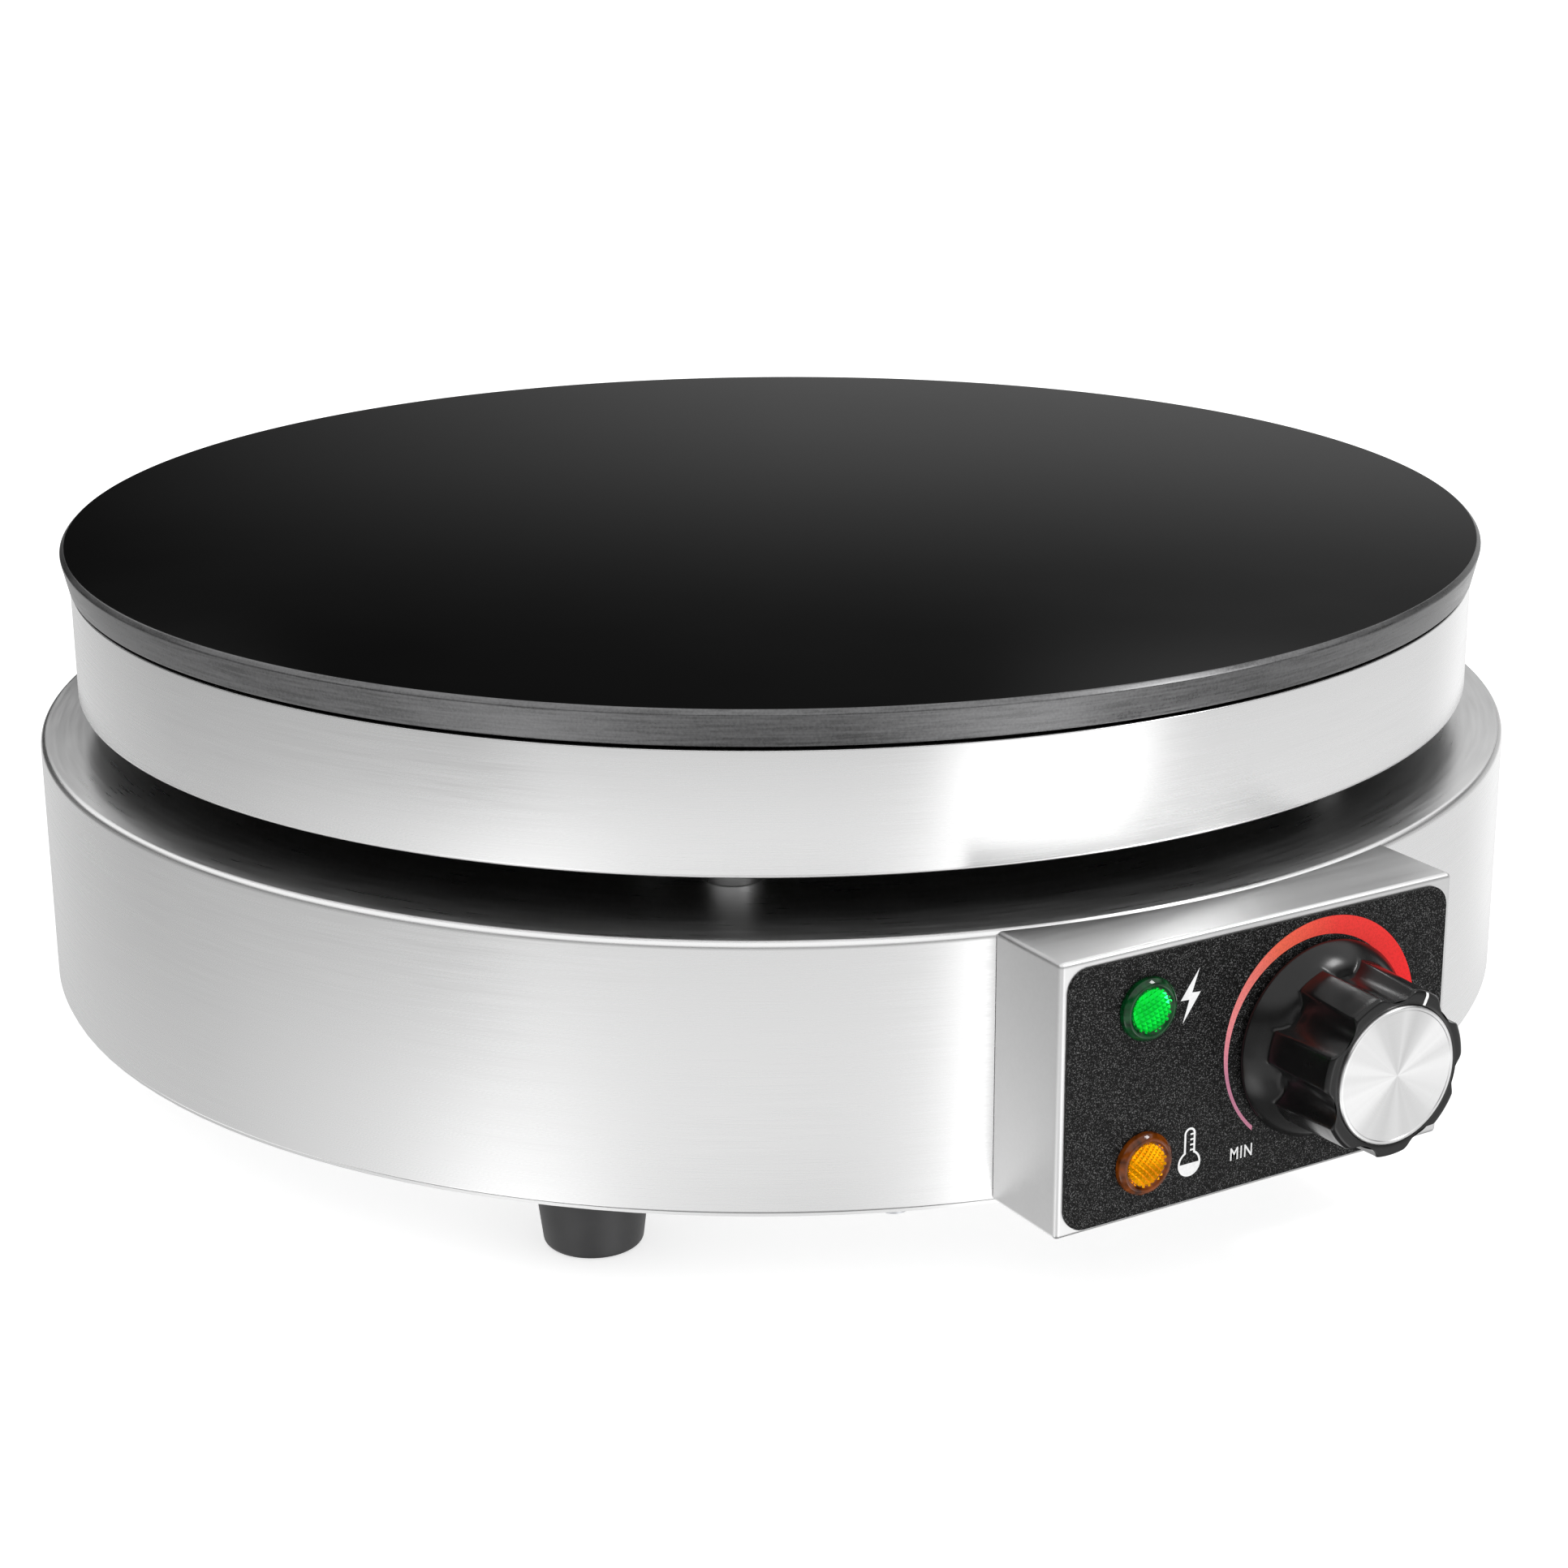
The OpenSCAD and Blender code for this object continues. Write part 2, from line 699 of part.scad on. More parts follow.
module control_panel() {
    color("#262627") on_panel(0, 0) translate([0, 0, -panel_t]) linear_extrude(panel_t) difference() {
        rounded_rect(panel_w, panel_h, panel_corner);
        for (side = [-1, 1])
            translate([lamp_x, side * lamp_pitch / 2]) circle(r = lamp_hole_r, $fn = round_fn);
        translate([knob_x, knob_rise]) {
            circle(r = shaft_hole_r, $fn = round_fn);
            stat_screw_spots() circle(r = screw_hole_r, $fn = round_fn);
        }
    }
}

// Lamps
module lamp_lens() {
    dome_n = 8;
    rise = lens_h - lens_bevel_h;
    rotate_extrude($fn = round_fn) polygon(concat(
        [
            [lens_bore_r, -lens_stem_h], [lens_stem_r, -lens_stem_h], [lens_stem_r, 0], [lens_r, 0],
            [lens_r, lens_rim_h], [lens_bevel_r, lens_bevel_h]
        ],
        [
            for (i = [1:dome_n])
                let (t = i / dome_n) [lens_bevel_r * (1 - t), lens_bevel_h + rise * (1 - (1 - t) * (1 - t))]
        ],
        [[0, lens_bore_top], [lens_bore_r, lens_bore_top]]
    ));
}
module green_lamp_lens() { color("#17c03a") on_panel(lamp_x, lamp_pitch / 2) lamp_lens(); }
module amber_lamp_lens() { color("#f39a1c") on_panel(lamp_x, -lamp_pitch / 2) lamp_lens(); }
module lamp_bodies() {
    socket_r = lens_stem_r + shaft_clear;
    color("#e9e6da") at_lamps() difference() {
        pillar(lamp_body_r, -lamp_body_end, inner_face);
        pillar(socket_r, -lamp_floor, inner_face + 1);
        pillar(neon_r + shaft_clear, -neon_seat, -lamp_floor + 1);
    }
}
module neon_bulbs() {
    color("#f3c9a0") at_lamps() union() {
        pillar(neon_r, -neon_seat, neon_top);
        translate([0, 0, neon_top]) sphere(r = neon_r, $fn = round_fn);
    }
}
module lamp_terminals() {
    color("#c9b26a") at_lamps()
        for (side = [-1, 1])
            translate([side * tab_spread - tab_t / 2, -tab_w / 2, -lamp_body_end - tab_h])
                cube([tab_t, tab_w, tab_h]);
}

// Thermostat
module thermostat_body() {
    color("#aeb1b4") on_knob_axis() difference() {
        union() {
            translate([-stat_w / 2, -stat_h / 2, inner_face - stat_d]) cube([stat_w, stat_h, stat_d]);
            pillar(stat_boss_r, inner_face - 1, -panel_t);
        }
        pillar(shaft_r + shaft_clear, inner_face - stat_bore_l - 1, 1);
        pillar(stat_cavity_r, inner_face - stat_d - 1, inner_face - stat_bore_l);
        stat_screw_spots() pillar(stat_screw_r, inner_face - stat_screw_l, inner_face + 1);
    }
}
module thermostat_base() {
    color("#efece2") on_knob_axis()
        translate([-stat_base_w / 2, -stat_base_h / 2, inner_face - stat_d - stat_base_d])
            cube([stat_base_w, stat_base_h, stat_base_d]);
}
module thermostat_terminals() {
    color("#c9b26a") on_knob_axis()
        for (x = stat_tab_x)
            for (y = stat_tab_y)
                translate([x, y, inner_face - stat_d - stat_base_d - tab_h]) cube([tab_w, tab_t, tab_h]);
}
module thermostat_screws() {
    color("#b9bbbe") on_knob_axis() stat_screw_spots() union() {
        pillar(stat_head_r, 0, stat_head_h);
        pillar(stat_screw_r, inner_face - stat_screw_l, 1);
    }
}
module thermostat_shaft() {
    color("#c9cbcd") on_knob() difference() {
        union() {
            pillar(shaft_r, shaft_back, shaft_front);
            pillar(collar_r, collar_z, collar_z + collar_h);
        }
        translate([-collar_r, -collar_r - flat_y, flat_from]) cube([2 * collar_r, collar_r, shaft_front]);
    }
}

// Knob
module knob_profile() {
    skirt_r = skirt_d / 2;
    polygon([
        [0, knob_gap], [skirt_r - skirt_edge, knob_gap], [skirt_r, knob_gap + skirt_edge],
        [skirt_r, skirt_rim_h], [skirt_r - skirt_lip, skirt_rim_h + skirt_lip],
        [lobe_d / 2 + skirt_foot, skirt_slope_h], [0, skirt_slope_h]
    ]);
}
module grip_profile() {
    polygon([
        [0, knob_gap + 1], [lobe_d / 2, knob_gap + 1], [lobe_d / 2, skirt_slope_h],
        [lobe_front_d / 2, knob_front - front_chamfer], [lobe_front_d / 2 - front_chamfer, knob_front],
        [0, knob_front]
    ]);
}
module knob_body() {
    flute_at = lobe_front_d / 2 - flute_depth + flute_r;
    color("#141414") on_knob() difference() {
        union() {
            rotate_extrude($fn = fine) knob_profile();
            difference() {
                rotate_extrude($fn = fine) grip_profile();
                for (i = [0:lobes - 1])
                    rotate([0, 0, 360 / lobes * (i + 0.5)])
                        translate([0, flute_at, skirt_slope_h])
                            cylinder(r = flute_r, h = knob_front, $fn = fine);
            }
        }
        difference() {
            pillar(recess_r, knob_gap - 1, recess_top, fine);
            pillar(insert_r + hub_wall, knob_gap - 2, recess_top + 1);
        }
        pillar(shaft_r + shaft_room, knob_gap - 1, insert_from + 1);
        pillar(insert_r, insert_from, insert_to);
        pillar(cap_d / 2, knob_front - cap_seat, knob_front + 1, fine);
        grub_hole(insert_r - 1, lobe_d);
    }
}
module grub_hole(from, to) {
    translate([0, -from, grub_z]) rotate([90, 0, 0]) cylinder(r = grub_r, h = to - from, $fn = round_fn);
}
module knob_cap() {
    r = cap_d / 2;
    z0 = knob_front - cap_seat;
    z1 = z0 + cap_t;
    color("#e6e8ea") on_knob() rotate_extrude($fn = fine)
        polygon([[0, z0], [r, z0], [r, z1 - cap_bevel], [r - cap_bevel, z1], [0, z1]]);
}
module knob_insert() {
    bore = shaft_r + shaft_clear;
    color("#c8a24a") on_knob() difference() {
        pillar(insert_r, insert_from, insert_to);
        difference() {
            pillar(bore, insert_from - 1, shaft_front + shaft_clear);
            translate([-insert_r, -insert_r - flat_y - shaft_clear, insert_from - 2])
                cube([2 * insert_r, insert_r, insert_to]);
        }
        grub_hole(0, insert_r + 1);
    }
}
module knob_set_screw() {
    start = flat_y + 2 * shaft_clear;
    color("#8d8f92") on_knob() grub_hole(start, start + grub_l);
}

// Cord gland at the back
module gland_body() {
    color("#2b2b2c") on_back() difference() {
        union() {
            pillar(gland_thread_r, -gland_tail, gasket_t + gland_hex_h + gland_front);
            pillar(gland_hex_r, gasket_t, gasket_t + gland_hex_h, 6);
        }
        pillar(gland_bore_r, -gland_tail - 1, gasket_t + gland_hex_h + gland_front + 1);
    }
}
module gland_gasket() {
    color("#1f1f20") on_back() pipe(gasket_r, gland_thread_r, 0, gasket_t);
}
module gland_seal() { color("#3c3d3e") on_back() pipe(gland_bore_r, cord_d / 2, seal_from, seal_to); }
module gland_cap_nut() {
    z0 = gasket_t + gland_hex_h + thread_gap;
    z_front = gasket_t + gland_hex_h + gland_front;
    color("#2b2b2c") on_back() difference() {
        rotate_extrude($fn = round_fn) polygon([
            [0, z0], [cap_nut_r, z0], [cap_nut_r, z_front - cap_nut_face],
            [gland_thread_r + 1, cap_nut_to], [0, cap_nut_to]
        ]);
        pillar(gland_thread_r, z0 - 1, z_front + thread_gap);
        pillar(gland_bore_r, z0, cap_nut_to + 1);
    }
}
module gland_locknut() {
    z_top = sqrt(pow(drum_r - sheet, 2) - pow(locknut_r, 2)) - drum_r;
    color("#2b2b2c") on_back() hex_nut(locknut_r, gland_thread_r, z_top - locknut_h, locknut_h);
}

// Supply terminals and earth
module terminal_bracket() {
    color("#b4b7ba") translate([bracket_x, bracket_y, z_drum_inside - bracket_h]) union() {
        cube([bracket_w, bracket_t, bracket_h]);
        translate([0, 0, bracket_h - bracket_t]) cube([bracket_w, bracket_flange, bracket_t]);
    }
}
module at_block_ways() {
    step = (block_w - rib_t) / block_ways;
    for (i = [0:block_ways - 1])
        translate([block_x + rib_t / 2 + step * (i + 0.5), bracket_y - block_d, 0]) children();
}
module terminal_block() {
    color("#f0eee6") difference() {
        translate([block_x, bracket_y - block_d, z_block]) cube([block_w, block_d, block_h]);
        at_block_ways() translate([0, -1, z_block + block_h / 2]) rotate([-90, 0, 0])
            cylinder(r = block_d / 4, h = block_d / 2, $fn = round_fn);
    }
}
module terminal_screws() {
    screw_h = block_d / 4 - 1;
    color("#c9cbcd") at_block_ways()
        translate([0, block_d / 4, z_block + block_h / 2]) rotate([-90, 0, 0])
            cylinder(r = stud_r, h = screw_h, $fn = round_fn);
}
module earth_stud() {
    color("#c9cbcd") translate([earth_x, earth_y, 0])
        pillar(earth_r, z_drum_inside - earth_l, z_drum_inside);
}
module earth_nut() {
    z0 = z_drum_inside - earth_l + earth_nut_up;
    color("#c9b26a") translate([earth_x, earth_y, 0]) union() {
        hex_nut(nut_r - 1, earth_r, z0, nut_h - 1);
        pipe(nut_r, earth_r, z0 + nut_h - 1, z0 + nut_h);
    }
}
module brown_wire() { color("#6b3f22") wire(brown_route, wire_r); }
module blue_wire() { color("#2f5fa8") wire(blue_route, wire_r); }
module red_wire() { color("#a8231f") wire(red_route, wire_r); }
module link_wire() { color("#e7e2d6") wire(link_route, wire_r); }
module earth_wire() { color("#8fae2c") wire(earth_route, wire_r); }

cooking_plate();
outer_heating_element();
inner_heating_element();
element_cold_ends();
element_clamp_plate();
insulation_mat();
plate_studs();
plate_stud_nuts();
sensing_bulb();
bulb_clip();
bulb_clip_screw();
capillary_tube();
thermal_cutout();
upper_ring();
pan_floor();
standoff_posts();
post_bolts();
post_nuts();
wire_conduit();
drum_shell();
bottom_cover();
cover_screws();
rubber_feet();
foot_screws();
foot_washers();
foot_nuts();
control_box();
control_panel();
green_lamp_lens();
amber_lamp_lens();
lamp_bodies();
neon_bulbs();
lamp_terminals();
thermostat_body();
thermostat_base();
thermostat_terminals();
thermostat_screws();
thermostat_shaft();
knob_body();
knob_cap();
knob_insert();
knob_set_screw();
gland_body();
gland_gasket();
gland_seal();
gland_cap_nut();
gland_locknut();
terminal_bracket();
terminal_block();
terminal_screws();
earth_stud();
earth_nut();
brown_wire();
blue_wire();
red_wire();
link_wire();
earth_wire();
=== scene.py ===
"""The looks of the round electric griddle, built around its CAD frame. Metres, +Z up, -Y the front."""

import json
import math

import bmesh
import bpy
from mathutils import Matrix, Vector


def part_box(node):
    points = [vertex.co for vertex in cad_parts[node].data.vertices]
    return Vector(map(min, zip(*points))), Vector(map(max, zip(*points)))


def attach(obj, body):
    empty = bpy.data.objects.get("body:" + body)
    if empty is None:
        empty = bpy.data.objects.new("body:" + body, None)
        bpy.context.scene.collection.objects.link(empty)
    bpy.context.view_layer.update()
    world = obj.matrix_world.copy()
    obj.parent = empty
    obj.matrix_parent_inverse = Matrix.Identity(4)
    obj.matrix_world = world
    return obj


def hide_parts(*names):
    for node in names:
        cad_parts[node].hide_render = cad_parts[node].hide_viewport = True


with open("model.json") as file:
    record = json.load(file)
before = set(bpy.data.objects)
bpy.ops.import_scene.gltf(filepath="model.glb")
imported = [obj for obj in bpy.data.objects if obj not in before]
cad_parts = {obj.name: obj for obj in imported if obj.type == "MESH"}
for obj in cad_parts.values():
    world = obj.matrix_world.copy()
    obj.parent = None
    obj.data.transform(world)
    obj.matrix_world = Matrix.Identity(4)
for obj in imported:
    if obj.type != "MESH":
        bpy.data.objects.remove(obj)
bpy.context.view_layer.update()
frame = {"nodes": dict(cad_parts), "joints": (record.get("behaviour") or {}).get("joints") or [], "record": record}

MM = 0.001
FULL = 2 * math.pi
STEPS_ROUND = 288
STEPS_SMALL = 64
SHARP = math.radians(32)


# ---------------------------------------------------------------- places, read from the frame

def low(node, axis):
    """The lowest place of a CAD node on an axis (0 is X, 2 is Z), to a hundredth of a millimetre."""
    return round(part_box(node)[0][axis], 5)


def high(node, axis):
    """The highest place of a CAD node on an axis."""
    return round(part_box(node)[1][axis], 5)


PLATE_R = round(high("cooking_plate", 0), 4)
PLATE_Z = high("cooking_plate", 2)
PLATE_UNDER = low("cooking_plate", 2)
RING_R = high("upper_ring", 0)
RING_TOP = high("upper_ring", 2)
RING_BOTTOM = low("upper_ring", 2)
DRUM_R = high("drum_shell", 0)
DRUM_TOP = high("drum_shell", 2)
DRUM_BOTTOM = low("drum_shell", 2)
BOX_HALF = high("control_box", 0)
BOX_FRONT = low("control_box", 1)
PANEL_FRONT = low("control_panel", 1)
PANEL_W = high("control_panel", 0) - low("control_panel", 0)
PANEL_H = high("control_panel", 2) - low("control_panel", 2)
PANEL_Z = (high("control_panel", 2) + low("control_panel", 2)) / 2
LAMP_X = (high("green_lamp_lens", 0) + low("green_lamp_lens", 0)) / 2
KNOB = frame["joints"][0]["pos_m"]
KNOB_X = KNOB[0]
KNOB_Z = KNOB[2]
FLOOR_Z = low("rubber_feet", 2)
GLAND_Z = (high("gland_cap_nut", 2) + low("gland_cap_nut", 2)) / 2
POINTER = math.radians(25)
SHEET = 1 * MM
LAMP_HOLE_R = 6 * MM
SHAFT_HOLE_R = 5.5 * MM
GLAND_HOLE_R = 8.1 * MM


# ---------------------------------------------------------------- meshes

def finish_mesh(name, mesh, materials, body, nodes=(), sharp=SHARP):
    """Makes a piece from a mesh: smooth faces, sharp edges where they bend, its materials and its body."""
    for polygon in mesh.polygons:
        polygon.use_smooth = True
    mesh.set_sharp_from_angle(angle=sharp)
    piece = bpy.data.objects.new(name, mesh)
    bpy.context.scene.collection.objects.link(piece)
    for material in materials:
        mesh.materials.append(material)
    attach(piece, body)
    if nodes:
        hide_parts(*nodes)
    return piece


def mesh_from(work, name, place=None):
    """Turns a bmesh into a mesh with its normals outwards, moved to its place."""
    bmesh.ops.remove_doubles(work, verts=work.verts, dist=1e-7)
    bmesh.ops.recalc_face_normals(work, faces=work.faces)
    mesh = bpy.data.meshes.new(name)
    work.to_mesh(mesh)
    work.free()
    if place is not None:
        mesh.transform(place)
    return mesh


def soften(points, steps=5):
    """Rounds the corners of an outline of (radius, height, bend) points, to (radius, height) points."""
    made = []
    for i, (x, z, bend) in enumerate(points):
        here = Vector((x, z))
        if bend == 0:
            made.append(here)
            continue
        before = (Vector(points[i - 1][:2]) - here)
        after = (Vector(points[(i + 1) % len(points)][:2]) - here)
        angle = before.angle(after)
        reach = bend / math.tan(angle / 2)
        start = here + before.normalized() * reach
        end = here + after.normalized() * reach
        bisector = (before.normalized() + after.normalized()).normalized()
        middle = here + bisector * (bend / math.sin(angle / 2))
        a = start - middle
        b = end - middle
        turn = a.angle(b)
        for k in range(steps + 1):
            t = k / steps
            share = (math.sin((1 - t) * turn), math.sin(t * turn))
            made.append(middle + (a * share[0] + b * share[1]) / math.sin(turn))
    return [(p.x, p.y) for p in made]


def lathe(outline, steps=STEPS_ROUND, shape=None):
    """Turns a closed outline of (radius, height) points about Z. shape() may change each radius."""
    work = bmesh.new()
    rings = []
    for radius, height in outline:
        if radius < 1e-7:
            rings.append([work.verts.new((0, 0, height))])
            continue
        ring = []
        for k in range(steps):
            angle = FULL * k / steps
            r = shape(angle, radius, height) if shape else radius
            ring.append(work.verts.new((r * math.sin(angle), r * math.cos(angle), height)))
        rings.append(ring)
    for i, ring in enumerate(rings):
        after = rings[(i + 1) % len(rings)]
        for k in range(steps):
            corners = [ring[k % len(ring)], ring[(k + 1) % len(ring)]]
            corners += [after[(k + 1) % len(after)], after[k % len(after)]]
            corners = list(dict.fromkeys(corners))
            if len(corners) > 2:
                work.faces.new(corners)
    return work


def arc(cx, cz, radius, start, end, steps):
    """Points on an arc, from one angle to another in degrees."""
    turn = (end - start) / steps
    angles = [math.radians(start + turn * k) for k in range(steps + 1)]
    return [(cx + radius * math.cos(a), cz + radius * math.sin(a)) for a in angles]


def slab(loops, thickness, bevel=0.0):
    """A flat piece with straight walls from outlines in X and Y: the outside, then any holes."""
    work = bmesh.new()
    for loop in loops:
        points = [work.verts.new((x, y, 0)) for x, y in loop]
        for i, point in enumerate(points):
            work.edges.new((point, points[(i + 1) % len(points)]))
    bmesh.ops.triangle_fill(work, edges=work.edges, use_beauty=True, use_dissolve=False)
    made = bmesh.ops.extrude_face_region(work, geom=work.faces[:])
    top = [g for g in made["geom"] if isinstance(g, bmesh.types.BMVert)]
    bmesh.ops.translate(work, verts=top, vec=(0, 0, thickness))
    if bevel:
        bmesh.ops.recalc_face_normals(work, faces=work.faces)
        upper = [e for e in work.edges if all(v.co.z > thickness / 2 for v in e.verts)]
        rim = [e for e in upper if e.calc_face_angle(0) > 1]
        bmesh.ops.bevel(work, geom=rim, offset=bevel, segments=2, affect="EDGES", clamp_overlap=True)
    return work


def block(low_corner, high_corner):
    """A box as a bmesh."""
    work = bmesh.new()
    bmesh.ops.create_cube(work, size=1)
    size = Vector(high_corner) - Vector(low_corner)
    for vertex in work.verts:
        vertex.co = Vector(low_corner) + Vector([(c + 0.5) * s for c, s in zip(vertex.co, size)])
    return work


def cylinder_cutter(radius, length, place, steps=STEPS_SMALL):
    """An object that carve() takes away: a cylinder from its place's origin along its Z."""
    work = lathe([(0, 0), (radius, 0), (radius, length), (0, length)], steps)
    return cutter(work, place)


def cutter(work, place=None):
    """An object that carve() takes away, from a bmesh."""
    piece = bpy.data.objects.new("cutter", mesh_from(work, "cutter", place))
    bpy.context.scene.collection.objects.link(piece)
    return piece


def carve(mesh, cutters):
    """Takes the cutters out of a mesh and gives the new mesh."""
    piece = bpy.data.objects.new("carved", mesh)
    bpy.context.scene.collection.objects.link(piece)
    for tool in cutters:
        cut = piece.modifiers.new("cut", "BOOLEAN")
        cut.operation = "DIFFERENCE"
        cut.solver = "EXACT"
        cut.object = tool
    graph = bpy.context.evaluated_depsgraph_get()
    made = bpy.data.meshes.new_from_object(piece.evaluated_get(graph))
    for tool in [piece, *cutters]:
        bpy.data.objects.remove(tool)
    return made


def on_panel(x, z, out=0.0, turn=0.0):
    """A place on the panel's face: X to the right, Y up, Z outwards, turned clockwise."""
    there = Matrix.Translation((x, PANEL_FRONT - out, z))
    return there @ Matrix.Rotation(math.radians(90), 4, "X") @ Matrix.Rotation(-turn, 4, "Z")


def on_back(z):
    """A place on the back of the drum, Z outwards."""
    return Matrix.Translation((0, DRUM_R, z)) @ Matrix.Rotation(math.radians(-90), 4, "X")


# ---------------------------------------------------------------- materials

class Surface:
    """A material with one Principled shader and short ways to add the nodes that give it detail."""

    def __init__(self, name, colour, roughness, metallic=0.0, **sockets):
        self.material = bpy.data.materials.new(name)
        self.material.use_nodes = True
        self.tree = self.material.node_tree
        self.shader = self.tree.nodes["Principled BSDF"]
        self.shader.inputs["Base Color"].default_value = (*colour, 1)
        self.shader.inputs["Roughness"].default_value = roughness
        self.shader.inputs["Metallic"].default_value = metallic
        for socket, value in sockets.items():
            self.shader.inputs[socket.replace("_", " ")].default_value = value
        self.colour = colour
        self.where = self.add("ShaderNodeTexCoord").outputs["Object"]

    def add(self, kind, inputs=None, **settings):
        """Adds a node, with its settings and its inputs, each a value or another node's output."""
        node = self.tree.nodes.new(kind)
        for key, value in settings.items():
            setattr(node, key, value)
        for key, value in (inputs or {}).items():
            if isinstance(value, bpy.types.NodeSocket):
                self.tree.links.new(value, node.inputs[key])
            else:
                node.inputs[key].default_value = value
        return node

    def maths(self, operation, *values):
        """The output of a Math node on two values or outputs."""
        return self.add("ShaderNodeMath", dict(enumerate(values)), operation=operation).outputs[0]

    def link(self, output, socket):
        self.tree.links.new(output, self.shader.inputs[socket])

    def split(self):
        """The X, Y and Z of a point on the surface."""
        return self.add("ShaderNodeSeparateXYZ", {0: self.where}).outputs

    def joined(self, x, y, z):
        return self.add("ShaderNodeCombineXYZ", {0: x, 1: y, 2: z}).outputs[0]

    def round_axis(self, centre=(0, 0), flat=False):
        """The angle round an upright axis, the distance from it and the height. flat: an axis along Y."""
        x, y, z = self.split()
        if flat:
            y, z = z, y
        x = self.maths("SUBTRACT", x, centre[0])
        y = self.maths("SUBTRACT", y, centre[1])
        angle = self.maths("ARCTAN2", x, self.maths("MULTIPLY", y, -1.0))
        squares = self.maths("ADD", self.maths("MULTIPLY", x, x), self.maths("MULTIPLY", y, y))
        return angle, self.maths("SQRT", squares), z

    def noise(self, where, scale, detail=3.0):
        made = self.add("ShaderNodeTexNoise", {"Vector": where, "Scale": scale, "Detail": detail})
        return made.outputs["Fac"]

    def spread(self, value, low_end, high_end, start=0.3, stop=0.7):
        """Maps a noise from its usual range to another range."""
        inputs = {0: value, 1: start, 2: stop, 3: low_end, 4: high_end}
        return self.add("ShaderNodeMapRange", inputs).outputs[0]

    def shade(self, value, dark, light):
        """Varies the colour between a darker and a lighter share of it, by a value from 0 to 1."""
        ends = [tuple(min(1.0, c * share) for c in self.colour) + (1,) for share in (dark, light)]
        mixed = self.add("ShaderNodeMix", {0: value, 6: ends[0], 7: ends[1]}, data_type="RGBA")
        self.link(mixed.outputs[2], "Base Color")
        return mixed.outputs[2]

    def bump(self, height, strength, distance=0.0001):
        inputs = {"Height": height, "Strength": strength, "Distance": distance}
        self.link(self.add("ShaderNodeBump", inputs).outputs[0], "Normal")


def set_stops(ramp, stops):
    """Gives a colour ramp its stops, each a position from 0 to 1 and a colour."""
    elements = ramp.color_ramp.elements
    while len(elements) < len(stops):
        elements.new(0.5)
    for element, (position, colour) in zip(elements, stops):
        element.position = position
        element.color = (*colour, 1)


def grained(name, colour, roughness, metallic=0.0, scale=900.0, depth=0.15, vary=0.12, **sockets):
    """A cast, moulded or plated surface: uneven colour and sheen in patches, and a fine grain."""
    made = Surface(name, colour, roughness, metallic, **sockets)
    patches = made.spread(made.noise(made.where, scale / 12), 0, 1)
    grain = made.noise(made.where, scale, 4.0)
    made.shade(patches, 1 - vary, 1 + vary)
    mixed = made.maths("MULTIPLY_ADD", grain, 0.12, roughness - 0.06)
    made.link(mixed, "Roughness")
    made.bump(grain, depth)
    return made.material


def brushed(name, colour, roughness, anisotropy, lines="round", depth=0.05, vary=0.05):
    """Stainless sheet with fine brushing: round the axis, or along the box."""
    made = Surface(name, colour, roughness, 1.0)
    if lines == "round":
        angle, away, height = made.round_axis()
        where = made.joined(made.maths("MULTIPLY", angle, 9.0), made.maths("MULTIPLY", away, 900.0),
                            made.maths("MULTIPLY", height, 2400.0))
        broad = made.joined(made.maths("MULTIPLY", angle, 3.0), 0.0, made.maths("MULTIPLY", height, 420.0))
        tangent = made.add("ShaderNodeTangent", direction_type="RADIAL", axis="Z").outputs[0]
        made.shader.inputs["Anisotropic"].default_value = anisotropy
        made.shader.inputs["Anisotropic Rotation"].default_value = 0.25
        made.link(tangent, "Tangent")
    else:
        x, y, z = made.split()
        where = made.joined(made.maths("MULTIPLY", x, 12.0), made.maths("MULTIPLY", y, 900.0),
                            made.maths("MULTIPLY", z, 900.0))
        broad = made.joined(made.maths("MULTIPLY", x, 10.0), made.maths("MULTIPLY", y, 130.0),
                            made.maths("MULTIPLY", z, 130.0))
    fine = made.noise(where, 1.0, 4.0)
    wide = made.noise(broad, 1.0, 2.0)
    both = made.maths("MULTIPLY_ADD", wide, 0.35, made.maths("MULTIPLY", fine, 0.65))
    made.shade(made.spread(both, 0, 1, 0.35, 0.65), 1 - vary, 1 + vary)
    made.link(made.spread(both, roughness - 0.03, roughness + 0.04, 0.35, 0.65), "Roughness")
    made.bump(fine, depth, 0.00005)
    return made.material


def plate_coating():
    """Satin black coating with a very fine grain."""
    made = Surface("plate_coating", (0.0018, 0.0018, 0.0018), 0.13)
    made.shader.inputs["Specular IOR Level"].default_value = 0.035
    fine = made.noise(made.where, 2600.0, 2.0)
    cloudy = made.noise(made.where, 16.0, 3.0)
    made.link(made.spread(cloudy, 0.12, 0.14), "Roughness")
    made.shade(made.spread(cloudy, 0, 1), 0.9, 1.1)
    made.bump(fine, 0.02, 0.00003)
    return made.material


